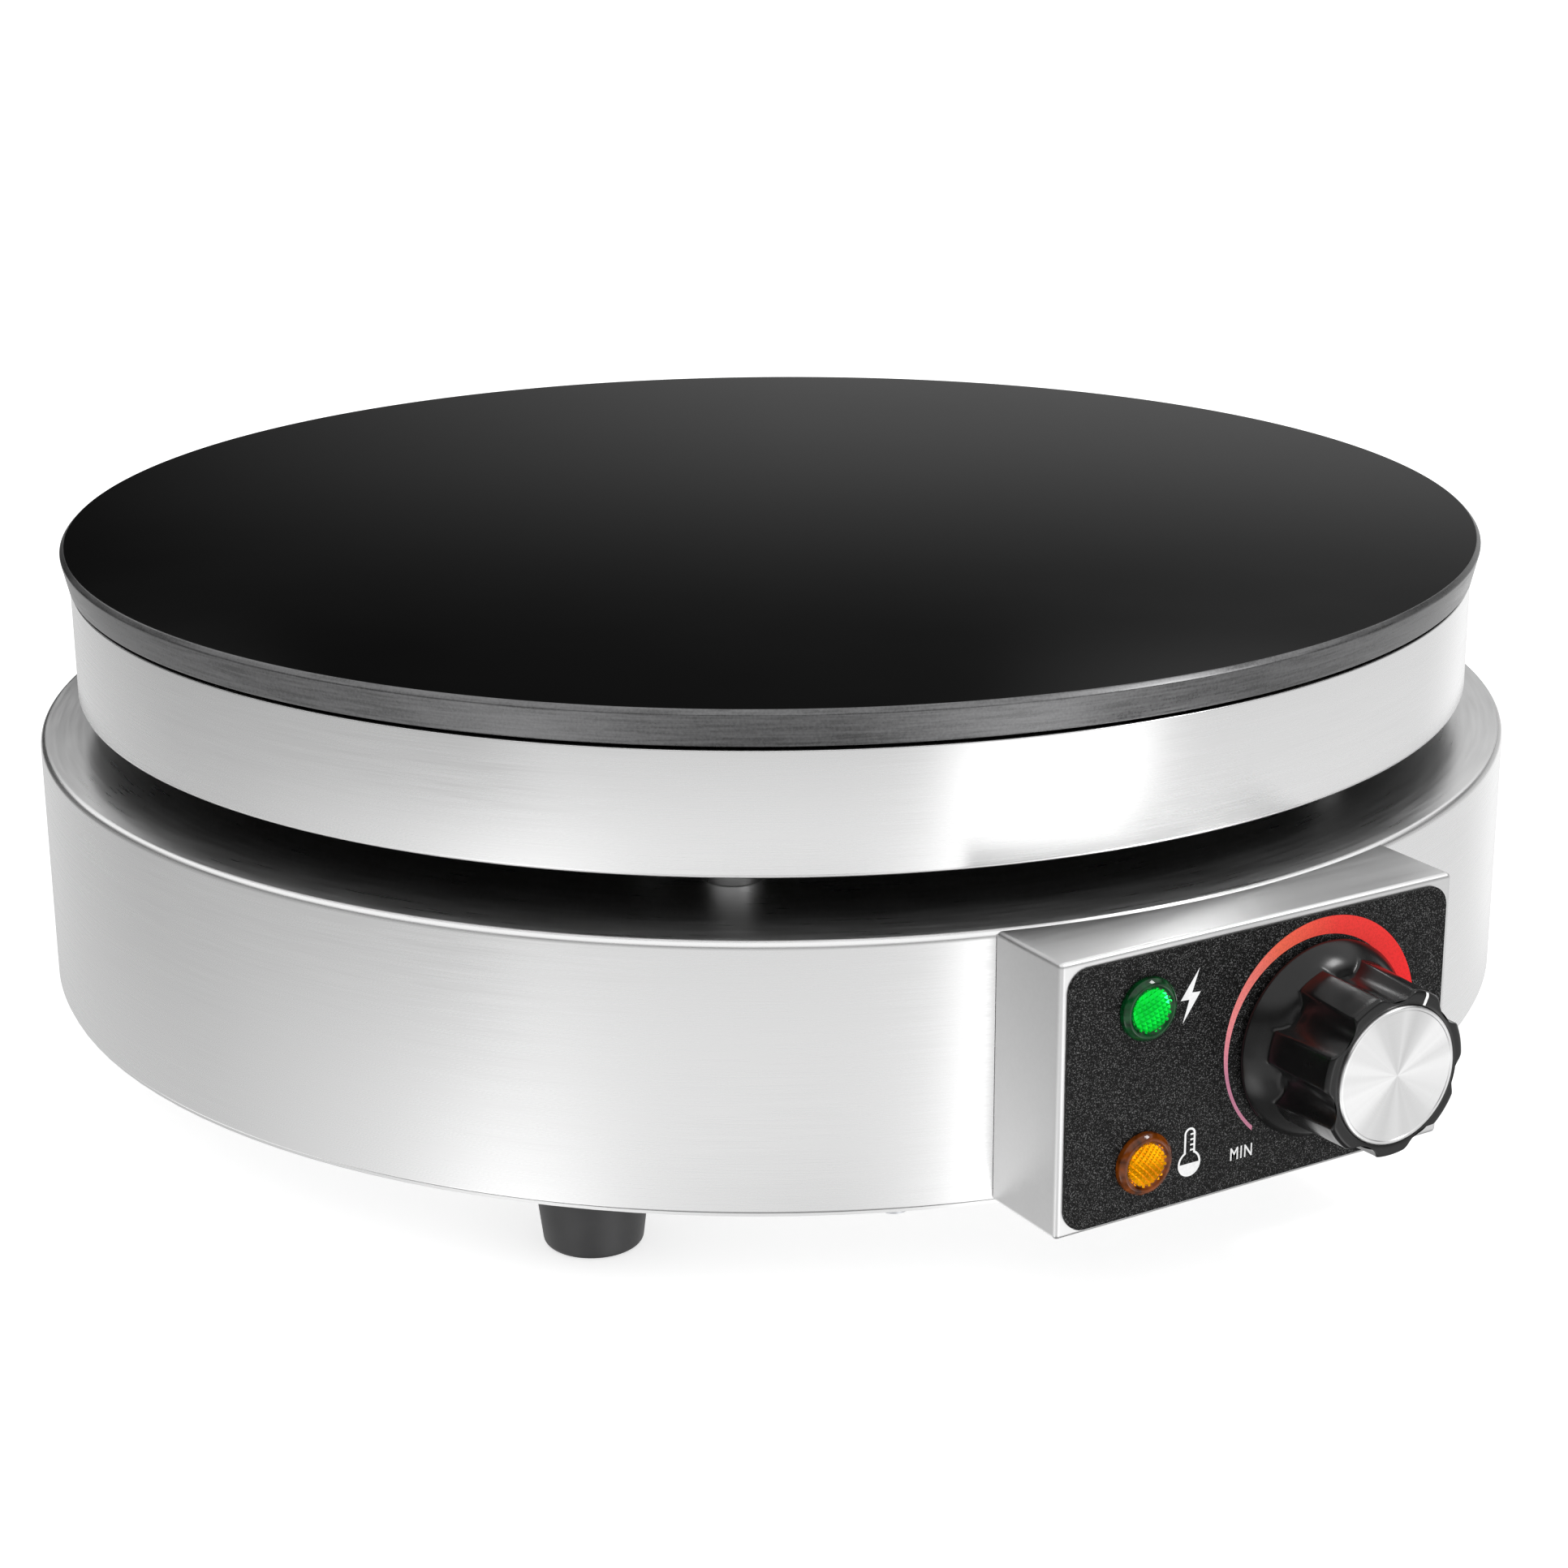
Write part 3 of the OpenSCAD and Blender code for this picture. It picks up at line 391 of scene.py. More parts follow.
def machined_iron():
    """The turned rim of the plate: graphite grey with fine lines round it."""
    made = Surface("machined_iron", (0.150, 0.150, 0.152), 0.30, 0.9)
    angle, away, height = made.round_axis()
    where = made.joined(made.maths("MULTIPLY", angle, 14.0), made.maths("MULTIPLY", away, 500.0),
                        made.maths("MULTIPLY", height, 1500.0))
    lines = made.noise(where, 1.0, 5.0)
    speck = made.noise(made.where, 1500.0, 2.0)
    both = made.maths("MULTIPLY_ADD", speck, 0.35, made.maths("MULTIPLY", lines, 0.65))
    made.shade(made.spread(both, 0, 1, 0.38, 0.62), 0.72, 1.25)
    made.link(made.spread(both, 0.26, 0.38, 0.38, 0.62), "Roughness")
    made.shader.inputs["Anisotropic"].default_value = 0.4
    made.shader.inputs["Anisotropic Rotation"].default_value = 0.25
    made.link(made.add("ShaderNodeTangent", direction_type="RADIAL", axis="Z").outputs[0], "Tangent")
    made.bump(lines, 0.2, 0.00008)
    return made.material


def panel_film():
    """Black film with a fine white sparkle in it."""
    made = Surface("panel_film", (0.0115, 0.0115, 0.0115), 0.5)
    made.shader.inputs["Specular IOR Level"].default_value = 0.12
    coarse = made.noise(made.where, 2900.0, 3.0)
    fine = made.noise(made.where, 6000.0, 1.0)
    both = made.maths("MULTIPLY_ADD", fine, 0.4, made.maths("MULTIPLY", coarse, 0.6))
    speck = made.spread(both, 0, 1, 0.54, 0.66)
    base = made.add("ShaderNodeMix", {0: speck, 6: (0.0035, 0.0035, 0.0035, 1), 7: (0.23, 0.23, 0.23, 1)},
                    data_type="RGBA")
    made.link(base.outputs[2], "Base Color")
    made.link(made.spread(both, 0.42, 0.56), "Roughness")
    made.bump(coarse, 0.12, 0.00004)
    return made.material


def white_print():
    made = Surface("white_print", (0.96, 0.96, 0.96), 0.5)
    made.shader.inputs["Specular IOR Level"].default_value = 0.15
    made.shade(made.spread(made.noise(made.where, 1800.0), 0, 1), 0.93, 1.04)
    made.bump(made.noise(made.where, 2400.0), 0.05, 0.00002)
    return made.material


def heat_print():
    """The heat scale: mauve where it is low, through salmon, to red."""
    made = Surface("heat_print", (1.0, 0.02, 0.03), 0.5)
    made.shader.inputs["Specular IOR Level"].default_value = 0.08
    low_end = -2.4
    high_end = 1.6
    angle = made.round_axis((KNOB_X, KNOB_Z), flat=True)[0]
    down = made.maths("MULTIPLY", made.maths("COSINE", angle), -1.0)
    clockwise = made.maths("ARCTAN2", made.maths("SINE", angle), down)
    share = made.spread(clockwise, 0.0, 1.0, low_end, high_end)
    ramp = made.add("ShaderNodeValToRGB", {0: share})
    stops = [
        (0.0, (0.62, 0.25, 0.36)), (0.16, (0.66, 0.26, 0.38)), (0.30, (0.96, 0.30, 0.30)),
        (0.48, (1.0, 0.17, 0.10)), (0.64, (1.0, 0.06, 0.05)), (1.0, (1.0, 0.016, 0.022)),
    ]
    set_stops(ramp, stops)
    speck = made.spread(made.noise(made.where, 2600.0, 3.0), 0.86, 1.08)
    inputs = {0: 1.0, 6: ramp.outputs[0], 7: speck}
    tinted = made.add("ShaderNodeMix", inputs, data_type="RGBA", blend_type="MULTIPLY")
    made.link(tinted.outputs[2], "Base Color")
    made.bump(made.noise(made.where, 2400.0), 0.05, 0.00002)
    return made.material


def lens_rim(name, colour):
    """The smooth coloured bevel of a lamp."""
    made = Surface(name, colour, 0.07)
    made.shader.inputs["Specular IOR Level"].default_value = 0.4
    made.shade(made.spread(made.noise(made.where, 420.0, 2.0), 0, 1), 0.35, 1.8)
    made.bump(made.noise(made.where, 300.0), 0.03, 0.0001)
    return made.material


def lens_grid(name, colour, glow):
    """The lit lattice behind the middle of a lamp."""
    made = Surface(name, colour, 0.10, 0.85)
    made.shader.inputs["Emission Color"].default_value = (*glow, 1)
    made.shader.inputs["Emission Strength"].default_value = 0.22
    made.shade(made.spread(made.noise(made.where, 260.0, 2.0), 0, 1), 0.72, 1.2)
    made.bump(made.noise(made.where, 900.0), 0.02, 0.00005)
    return made.material


def knob_plastic():
    made = Surface("knob_plastic", (0.0050, 0.0050, 0.0050), 0.22)
    made.shader.inputs["Specular IOR Level"].default_value = 0.42
    made.link(made.spread(made.noise(made.where, 160.0, 4.0), 0.16, 0.28), "Roughness")
    made.shade(made.spread(made.noise(made.where, 700.0), 0, 1), 0.8, 1.2)
    made.bump(made.noise(made.where, 420.0, 3.0), 0.03, 0.0001)
    return made.material


def spun_aluminium():
    """The cap: fine rings turned in it, which draw each light out into a wedge, and painted highlights: its colour
    is lighter and darker in wedges round its axis.
    """
    made = Surface("spun_aluminium", (0.90, 0.90, 0.90), 0.30, 1.0)
    angle, away, height = made.round_axis((KNOB_X, KNOB_Z), flat=True)
    where = made.joined(made.maths("MULTIPLY", away, 9000.0), made.maths("MULTIPLY", angle, 0.8), 0.0)
    rings = made.noise(where, 1.0, 3.0)
    around = made.joined(made.maths("SINE", angle), made.maths("COSINE", angle), 0.0)
    # Painted highlights: the colour goes lighter and darker in broad wedges round the cap's axis, like the wedges
    # of light its turned rings draw out.
    painted_highlight_wedges = made.noise(around, 1.9, 2.0)
    painted_wedge_share = made.spread(painted_highlight_wedges, 0, 1, 0.35, 0.65)
    ring_part = made.maths("MULTIPLY", rings, 0.25)
    made.shade(made.maths("MULTIPLY_ADD", painted_wedge_share, 0.75, ring_part), 0.84, 1.12)
    made.link(made.spread(rings, 0.27, 0.36), "Roughness")
    made.shader.inputs["Anisotropic"].default_value = 0.85
    made.shader.inputs["Anisotropic Rotation"].default_value = 0.25
    made.link(made.add("ShaderNodeTangent", direction_type="RADIAL", axis="Y").outputs[0], "Tangent")
    made.bump(rings, 0.04, 0.00003)
    return made.material


MATERIALS = {
    "plate_coating": plate_coating(),
    "machined_iron": machined_iron(),
    "brushed_stainless": brushed("brushed_stainless", (0.865, 0.865, 0.865), 0.26, 0.60,
                                 depth=0.03, vary=0.03),
    "drum_top": brushed("drum_top", (0.86, 0.86, 0.86), 0.30, 0.3, depth=0.02, vary=0.03),
    "box_stainless": brushed("box_stainless", (0.76, 0.76, 0.76), 0.34, 0.0,
                             lines="along", depth=0.03, vary=0.02),
    "panel_film": panel_film(),
    "white_print": white_print(),
    "heat_print": heat_print(),
    "green_lens": lens_rim("green_lens", (0.0, 0.040, 0.008)),
    "amber_lens": lens_rim("amber_lens", (0.13, 0.028, 0.001)),
    "green_grid": lens_grid("green_grid", (0.0, 0.62, 0.05), (0.0, 0.7, 0.04)),
    "amber_grid": lens_grid("amber_grid", (1.0, 0.40, 0.0), (1.0, 0.40, 0.0)),
    "knob_plastic": knob_plastic(),
    "spun_aluminium": spun_aluminium(),
}

# Colour, roughness and metal, then the grain's scale and depth, and how far the colour varies.
GRAINED = {
    "polished_stainless": ((0.85, 0.85, 0.85), 0.24, 1.0, 500, 0.02, 0.04),
    # Near-black steel, also laid under the ring's flange and on the pan floor as painted shade.
    "painted_shade_steel": ((0.016, 0.016, 0.016), 0.55, 0.2, 700, 0.1),
    "foot_rubber": ((0.034, 0.034, 0.035), 0.50, 0.0, 1400, 0.12),
    "zinc_steel": ((0.60, 0.61, 0.63), 0.34, 1.0, 900, 0.08),
    "element_sheath": ((0.20, 0.18, 0.17), 0.55, 0.8, 500, 0.2, 0.3),
    "ceramic_fibre": ((0.82, 0.80, 0.74), 0.95, 0.0, 350, 0.9, 0.08),
    "copper": ((0.70, 0.36, 0.20), 0.32, 1.0, 700, 0.06, 0.2),
    "black_plastic": ((0.03, 0.03, 0.03), 0.5, 0.0, 900, 0.1),
    "pale_plastic": ((0.76, 0.74, 0.68), 0.5, 0.0, 900, 0.08, 0.05),
    "lamp_glass": ((0.85, 0.60, 0.42), 0.1, 0.0, 300, 0.02, 0.1),
    "brass": ((0.72, 0.56, 0.26), 0.3, 1.0, 900, 0.06, 0.15),
    "ceramic_white": ((0.84, 0.82, 0.76), 0.6, 0.0, 900, 0.12, 0.05),
    "gland_nylon": ((0.022, 0.022, 0.023), 0.42, 0.0, 1100, 0.12),
    "brown_wire": ((0.16, 0.06, 0.02), 0.45, 0.0, 900, 0.05),
    "blue_wire": ((0.03, 0.10, 0.38), 0.45, 0.0, 900, 0.05),
    "red_wire": ((0.42, 0.02, 0.015), 0.45, 0.0, 900, 0.05),
    "white_wire": ((0.76, 0.74, 0.68), 0.6, 0.0, 900, 0.2),
    "earth_wire": ((0.25, 0.45, 0.04), 0.45, 0.0, 900, 0.05),
}
MATERIALS.update({name: grained(name, *values) for name, values in GRAINED.items()})


# ---------------------------------------------------------------- pieces

def put(name, mesh, slot, nodes=(), body="body", materials=None, sharp=SHARP):
    """A finished piece in a slot's own material, or in the materials given."""
    chosen = [MATERIALS[m] for m in (materials or [slot])]
    return finish_mesh(name, mesh, chosen, body, nodes, sharp)


def paint(mesh, index, test):
    """Gives the faces that pass a test another of the piece's materials."""
    for polygon in mesh.polygons:
        if test(polygon):
            polygon.material_index = index


def griddle_plate():
    """The plate: a coated top, a turned rim that leans in, and a spigot that sits in the ring."""
    spigot_r = RING_R - 8 * MM
    rim_r = PLATE_R - 1.8 * MM
    z_rim = PLATE_Z - 9.3 * MM
    chamfer = 1.2 * MM
    outline = soften([
        (0, PLATE_Z, 0), (PLATE_R - chamfer, PLATE_Z, 0.7 * MM), (PLATE_R, PLATE_Z - chamfer, 0.6 * MM),
        (rim_r, z_rim, 0.5 * MM), (spigot_r, z_rim, 0),
        (spigot_r, PLATE_UNDER, 0.3 * MM), (0, PLATE_UNDER, 0),
    ])
    mesh = mesh_from(lathe(outline), "griddle_plate")
    paint(mesh, 1, lambda face: face.normal.z < 0.96)
    coats = ["plate_coating", "machined_iron"]
    put("griddle_plate", mesh, "plate_coating", ["cooking_plate"], materials=coats)


def ring_sheet():
    """The upper ring: a sheet wall with a flange turned in at its foot; the faces that look down are near-black
    steel, painted shade for the gap above the drum.
    """
    flange = 15 * MM
    inner = RING_R - SHEET
    outline = soften([
        (RING_R, RING_TOP, 0.35 * MM), (RING_R, RING_BOTTOM, 1.2 * MM),
        (RING_R - flange, RING_BOTTOM, 0.3 * MM),
        (RING_R - flange, RING_BOTTOM + SHEET, 0.3 * MM), (inner, RING_BOTTOM + SHEET, 0.25 * MM),
        (inner, RING_TOP, 0.35 * MM),
    ])
    mesh = mesh_from(lathe(outline), "ring_sheet")
    # Painted shade: the faces that look down, mostly the flange's underside, get near-black steel so the gap above
    # the drum reads dark.
    paint(mesh, 1, lambda face: face.normal.z < -0.8)
    sides = ["brushed_stainless", "painted_shade_steel"]
    put("ring_sheet", mesh, "brushed_stainless", ["upper_ring"], materials=sides)


def drum_sheet():
    """The drum: a closed top, a wall with a window behind the control box, and a flange at its foot."""
    flange = 15 * MM
    fold = 2 * MM
    hole = 12 * MM
    inner = DRUM_R - SHEET
    outline = soften([
        (hole, DRUM_TOP, 0.3 * MM), (DRUM_R, DRUM_TOP, fold), (DRUM_R, DRUM_BOTTOM, 0.8 * MM),
        (DRUM_R - flange, DRUM_BOTTOM, 0.3 * MM), (DRUM_R - flange, DRUM_BOTTOM + SHEET, 0.3 * MM),
        (inner, DRUM_BOTTOM + SHEET, 0.25 * MM), (inner, DRUM_TOP - SHEET, fold - SHEET),
        (hole, DRUM_TOP - SHEET, 0.3 * MM),
    ], steps=8)
    mesh = mesh_from(lathe(outline), "drum_sheet")
    margin = 6 * MM
    window = block((-BOX_HALF + margin, -DRUM_R - margin, DRUM_BOTTOM + margin),
                   (BOX_HALF - margin, -DRUM_R + 4 * margin, DRUM_TOP - margin))
    reach = 3 * MM
    inwards = Matrix.Translation((0, 0, -reach))
    cord_hole = cylinder_cutter(GLAND_HOLE_R, 2 * reach, on_back(GLAND_Z) @ inwards)
    mesh = carve(mesh, [cutter(window), cord_hole])
    paint(mesh, 1, lambda face: face.normal.z > 0.9 and face.center.z > DRUM_TOP - 0.1 * MM)
    sides = ["brushed_stainless", "drum_top"]
    put("drum_sheet", mesh, "brushed_stainless", ["drum_shell"], materials=sides)


def box_sheet():
    """The control box: folded sheet, open at the back where it meets the drum."""
    bend = 1.3 * MM
    deep = 60 * MM
    gap = 0.25 * MM
    work = block((-BOX_HALF, BOX_FRONT, DRUM_BOTTOM), (BOX_HALF, BOX_FRONT + deep, DRUM_TOP))
    back = BOX_FRONT + deep
    edges = [e for e in work.edges if not all(abs(v.co.y - back) < 1e-6 for v in e.verts)]
    bmesh.ops.bevel(work, geom=edges, offset=bend, segments=6, affect="EDGES", profile=0.5)
    mesh = mesh_from(work, "box_sheet")
    hollow = block((-BOX_HALF + SHEET, BOX_FRONT + SHEET, DRUM_BOTTOM + SHEET),
                   (BOX_HALF - SHEET, BOX_FRONT + 2 * deep, DRUM_TOP - SHEET))
    upright = Matrix.Translation((0, 0, DRUM_BOTTOM - SHEET))
    drum = cylinder_cutter(DRUM_R + gap, DRUM_TOP - DRUM_BOTTOM + 2 * SHEET, upright, STEPS_ROUND)
    reach = 6 * SHEET
    behind = -4 * SHEET
    holes = [cylinder_cutter(LAMP_HOLE_R, reach, on_panel(LAMP_X, z, behind)) for z in lamp_heights()]
    holes.append(cylinder_cutter(SHAFT_HOLE_R, reach, on_panel(KNOB_X, KNOB_Z, behind)))
    mesh = carve(mesh, [cutter(hollow), drum, *holes])
    put("box_sheet", mesh, "box_stainless", ["control_box"], sharp=math.radians(40))


def lamp_heights():
    """The heights of the two lamps, the green one first."""
    names = ("green_lamp_lens", "amber_lamp_lens")
    return [(high(name, 2) + low(name, 2)) / 2 for name in names]


def rounded_rectangle(width, height, radius, steps=16):
    """The outline of a rectangle with round corners, counter-clockwise."""
    x = width / 2 - radius
    y = height / 2 - radius
    corners = [(x, y, 0), (-x, y, 90), (-x, -y, 180), (x, -y, 270)]
    return [p for cx, cy, start in corners for p in arc(cx, cy, radius, start, start + 90, steps)]


def panel_overlay():
    """The printed film on the box's front, with its lamp and shaft holes."""
    thickness = 0.7 * MM
    corner = 5.8 * MM
    loops = [rounded_rectangle(PANEL_W, PANEL_H, corner)]
    holes = [(LAMP_X, z, LAMP_HOLE_R) for z in lamp_heights()] + [(KNOB_X, KNOB_Z, SHAFT_HOLE_R)]
    loops += [arc(x, z - PANEL_Z, r, 0, 360, STEPS_SMALL)[:-1] for x, z, r in holes]
    place = on_panel(0, PANEL_Z, -thickness)
    mesh = mesh_from(slab(loops, thickness, 0.12 * MM), "panel_overlay", place)
    put("panel_overlay", mesh, "panel_film", ["control_panel"])


INK = 0.04 * MM
INK_LIFT = 0.01 * MM


def mark(name, work, x, z, material="white_print"):
    """A printed mark just proud of the panel, placed from the panel's centre in millimetres."""
    mesh = mesh_from(work, name, on_panel(x * MM, PANEL_Z + z * MM, INK_LIFT))
    put(name, mesh, "panel_film", materials=[material])


def scaled(points):
    """Points in metres from points in millimetres."""
    return [(x * MM, y * MM) for x, y in points]


def bolt_mark():
    """The lightning mark of the power lamp."""
    outline = [(2.4, 6.6), (-2.9, -0.75), (-0.35, -0.9), (-2.1, -6.6), (2.9, 0.55), (0.4, 0.75)]
    mark("bolt_mark", slab([scaled(outline)], INK), -21.6, 19.8)


def thermometer_mark():
    """An outlined thermometer, filled to the middle of its bulb, with ticks inside the stem."""
    bulb = 3.35
    stem = 1.65
    line = 0.55
    top = 7.6
    outer_turn = math.degrees(math.asin(stem / bulb))
    inner_turn = math.degrees(math.asin((stem - line) / (bulb - line)))
    outer = arc(0, top, stem, 0, 180, 16) + arc(0, 0, bulb, 90 + outer_turn, 450 - outer_turn, 48)
    inner = arc(0, top, stem - line, 0, 180, 16) + arc(0, 0, bulb - line, 90 + inner_turn, 180, 12)
    inner += arc(0, 0, bulb - line, 0, 90 - inner_turn, 12)
    place = (-20.3, -23.2)
    mark("thermometer_mark", slab([scaled(outer), scaled(inner)], INK), *place)
    tick_start, tick_end = 0.15, 1.1
    tick_h = 0.45
    for i in range(4):
        y = 3.2 + i * 1.35
        tick = [(tick_start, y), (tick_end, y), (tick_end, y + tick_h), (tick_start, y + tick_h)]
        mark(f"thermometer_tick_{i + 1}", slab([scaled(tick)], INK), *place)


def word(name, text, x, z):
    """A plain printed word, centred on a point of the panel."""
    letters = bpy.data.curves.new(name, "FONT")
    letters.body = text
    letters.size = 4.6 * MM
    letters.align_x = "CENTER"
    letters.align_y = "CENTER"
    letters.space_character = 1.15
    letters.extrude = INK / 2
    letters.offset = 0.05 * MM
    source = bpy.data.objects.new(name + "_source", letters)
    bpy.context.scene.collection.objects.link(source)
    graph = bpy.context.evaluated_depsgraph_get()
    mesh = bpy.data.meshes.new_from_object(source.evaluated_get(graph))
    bpy.data.objects.remove(source)
    work = bmesh.new()
    work.from_mesh(mesh)
    narrow = 0.78
    bmesh.ops.scale(work, verts=work.verts, vec=(narrow, 1, 1))
    bmesh.ops.translate(work, verts=work.verts, vec=(0, 0, INK / 2))
    mark(name, work, x, z)


def heat_scale():
    """The crescent round the knob: two circles set off from each other, from a point to a broad end."""
    start = 137
    end = -132
    outer = arc(18.2, 2.3, 29.2, 90 + start, 90 + end, 120)
    inner = arc(16.3, 1.1, 26.1, 90 + end, 90 + start, 120)
    mark("heat_scale", slab([scaled(outer + inner)], INK), 0, 0, "heat_print")


def lamp(colour, z, lattice_turn):
    """A lamp's lens: a smooth round rim, and a domed middle cut into small pyramids."""
    bore_r = 4.4 * MM
    stem_r = 5.9 * MM
    stem = 7 * MM
    rim_r = 7.8 * MM
    crest_r = 6.5 * MM
    crest_h = 2.7 * MM
    dish_r = 5.5 * MM
    dish_h = 2.0 * MM
    outline = soften([
        (bore_r, -stem, 0), (stem_r, -stem, 0), (stem_r, 0, 0),
        (rim_r, 0, 0.2 * MM), (rim_r, 1.4 * MM, 1.1 * MM),
        (crest_r, crest_h, 0.7 * MM), (dish_r, dish_h, 0.2 * MM), (bore_r, dish_h - 0.3 * MM, 0),
    ])
    place = on_panel(LAMP_X, z)
    mesh = mesh_from(lathe(outline, 96), f"{colour}_lens", place)
    put(f"{colour}_lens", mesh, f"{colour}_lens", [f"{colour}_lamp_lens"])
    work = lattice(5.65 * MM, dish_h, 0.8 * MM, 1.3 * MM, lattice_turn)
    mesh = mesh_from(work, f"{colour}_lens_grid", place)
    put(f"{colour}_lens_grid", mesh, f"{colour}_lens", materials=[f"{colour}_grid"], sharp=math.radians(5))


def lattice(radius, base, rise, pitch, turn):
    """A domed disc of small pyramids, its cells turned by an angle."""
    work = bmesh.new()
    reach = int(radius / pitch) + 2
    turned = Matrix.Rotation(turn, 2)
    bump_h = 0.27 * MM

    def point(x, y, lift):
        flat = turned @ Vector((x, y))
        away = min(1.0, radius / max(flat.length, 1e-9))
        flat = flat * away
        height = base + rise * (1 - (flat.length / radius) ** 2)
        return work.verts.new((flat.x, flat.y, height + lift))

    for i in range(-reach, reach):
        for j in range(-reach, reach):
            middle = ((i + 0.5) * pitch, (j + 0.5) * pitch)
            if math.hypot(*middle) > radius + 0.3 * pitch:
                continue
            peak = point(*middle, bump_h)
            cell = ((i, j), (i + 1, j), (i + 1, j + 1), (i, j + 1))
            corners = [point(a * pitch, b * pitch, -bump_h) for a, b in cell]
            for k in range(4):
                work.faces.new((corners[k], corners[(k + 1) % 4], peak))
    bmesh.ops.remove_doubles(work, verts=work.verts, dist=1e-6)
    bmesh.ops.dissolve_degenerate(work, edges=work.edges, dist=1e-7)
    return work


# The knob's sizes in millimetres: its heights are from the panel's face.
LOBES = 7
GRIP_OUTER = 21.5
GRIP_FRONT = 20.8
FRONT_Z = 27.6
CAP_SEAT_Z = 26.2
CAP_R = 17.2
SKIRT_FACE = 1.8
DOME_TOP = 8.6
DOME_R = 18.0
SKIRT_R = 25.0


def dome(z):
    """The radius of the knob's domed skirt at a height, in millimetres."""
    share = min(1.0, max(0.0, (z - SKIRT_FACE) / (DOME_TOP - SKIRT_FACE)))
    return DOME_R + (SKIRT_R - DOME_R) * (0.55 * math.sqrt(1 - share * share) + 0.45 * (1 - share))


def fluted(angle, radius, height):
    """The grip's radius with its flutes, which run out where they meet the skirt's dome."""
    r = radius / MM
    z = height / MM
    depth = 2.6
    flute_r = 7.2
    if z <= SKIRT_FACE or r < 19.0:
        return radius
    pitch = FULL / LOBES
    centre = GRIP_FRONT - depth + flute_r
    away = abs((angle / pitch) % 1 - 0.5) * pitch
    inside = flute_r ** 2 - (centre * math.sin(away)) ** 2
    grip = min(r, GRIP_OUTER)
    if inside > 0:
        cut = centre * math.cos(away) - math.sqrt(inside)
        grip = smaller(grip, cut, 3.2)
    return -smaller(-dome(z), -grip, 5.0) * MM if z < DOME_TOP + 2 else grip * MM


def smaller(first, second, stiff):
    """The smaller of two numbers, with a soft change from one to the other."""
    least = min(first, second)
    shares = math.exp(-stiff * (first - least)) + math.exp(-stiff * (second - least))
    return least - math.log(shares) / stiff


def knob_grip():
    """The knob: a lobed grip on a domed skirt, hollow behind, with a recess for its cap."""
    cap_r = CAP_R + 0.05
    rim_r = 19.6
    rim_bend = 1.3
    back = 0.8
    skirt = [(SKIRT_R - 0.5, back), (SKIRT_R, 1.2), (SKIRT_R, SKIRT_FACE)]
    heights = [SKIRT_FACE + 0.4 * k for k in range(1, 22)]
    shoulder = [(max(dome(z), GRIP_OUTER), z) for z in heights]
    grip = [(GRIP_OUTER - (GRIP_OUTER - GRIP_FRONT) * k / 12, 10.6 + 15.6 * k / 12) for k in range(13)]
    front = arc(rim_r, FRONT_Z - rim_bend, rim_bend, 10, 90, 6)
    recess = [(rim_r - 1.0, FRONT_Z), (cap_r + 0.25, FRONT_Z)]
    recess += [(cap_r + 0.05, FRONT_Z - 0.2), (cap_r + 0.05, CAP_SEAT_Z)]
    behind = [(8.5, CAP_SEAT_Z), (8.5, back), (21.0, back)]
    points = [(r * MM, z * MM) for r, z in skirt + shoulder + grip + front + recess + behind]
    work = lathe(points, LOBES * 48, fluted)
    mesh = mesh_from(work, "knob_grip", on_panel(KNOB_X, KNOB_Z, 0, POINTER))
    put("knob_grip", mesh, "knob_plastic", ["knob_body"], "knob", sharp=math.radians(50))


def knob_pointer():
    """The white line inlaid over the front of one lobe."""
    half = 0.42 * MM
    lift = 0.05 * MM
    path = [(17.6, 27.6), (19.6, 27.6)] + [(r, z) for r, z in reversed(arc(19.6, 26.3, 1.3, 35, 80, 5))]
    work = bmesh.new()
    rows = []
    for r, z in path:
        corners = [(-half, r * MM, z * MM - 4 * lift), (half, r * MM, z * MM - 4 * lift)]
        corners += [(half, r * MM, z * MM + lift), (-half, r * MM, z * MM + lift)]
        rows.append([work.verts.new(c) for c in corners])
    for here, after in zip(rows, rows[1:]):
        for k in range(4):
            work.faces.new((here[k], here[(k + 1) % 4], after[(k + 1) % 4], after[k]))
    work.faces.new(rows[0])
    work.faces.new(rows[-1])
    mesh = mesh_from(work, "knob_pointer", on_panel(KNOB_X, KNOB_Z, 0, POINTER))
    put("knob_pointer", mesh, "knob_plastic", body="knob", materials=["white_print"])


def knob_spun_cap():
    """The cap set in the knob's front: a raised rim round a flat face."""
    r = CAP_R * MM
    under = (CAP_SEAT_Z + 0.05) * MM
    rim_z = 28.3 * MM
    face_z = rim_z - 0.18 * MM
    outline = soften([
        (0, under, 0), (r, under, 0), (r, rim_z, 0.55 * MM), (r - 0.9 * MM, rim_z, 0),
        (r - 1.1 * MM, face_z, 0), (0, face_z, 0),
    ])
    mesh = mesh_from(lathe(outline, 192), "knob_spun_cap", on_panel(KNOB_X, KNOB_Z, 0, POINTER))
    put("knob_spun_cap", mesh, "spun_aluminium", ["knob_cap"], "knob")


def corners_round(radius, angles):
    """Places round the axis, at angles from straight ahead in degrees."""
    return [(radius * math.sin(math.radians(a)), -radius * math.cos(math.radians(a))) for a in angles]


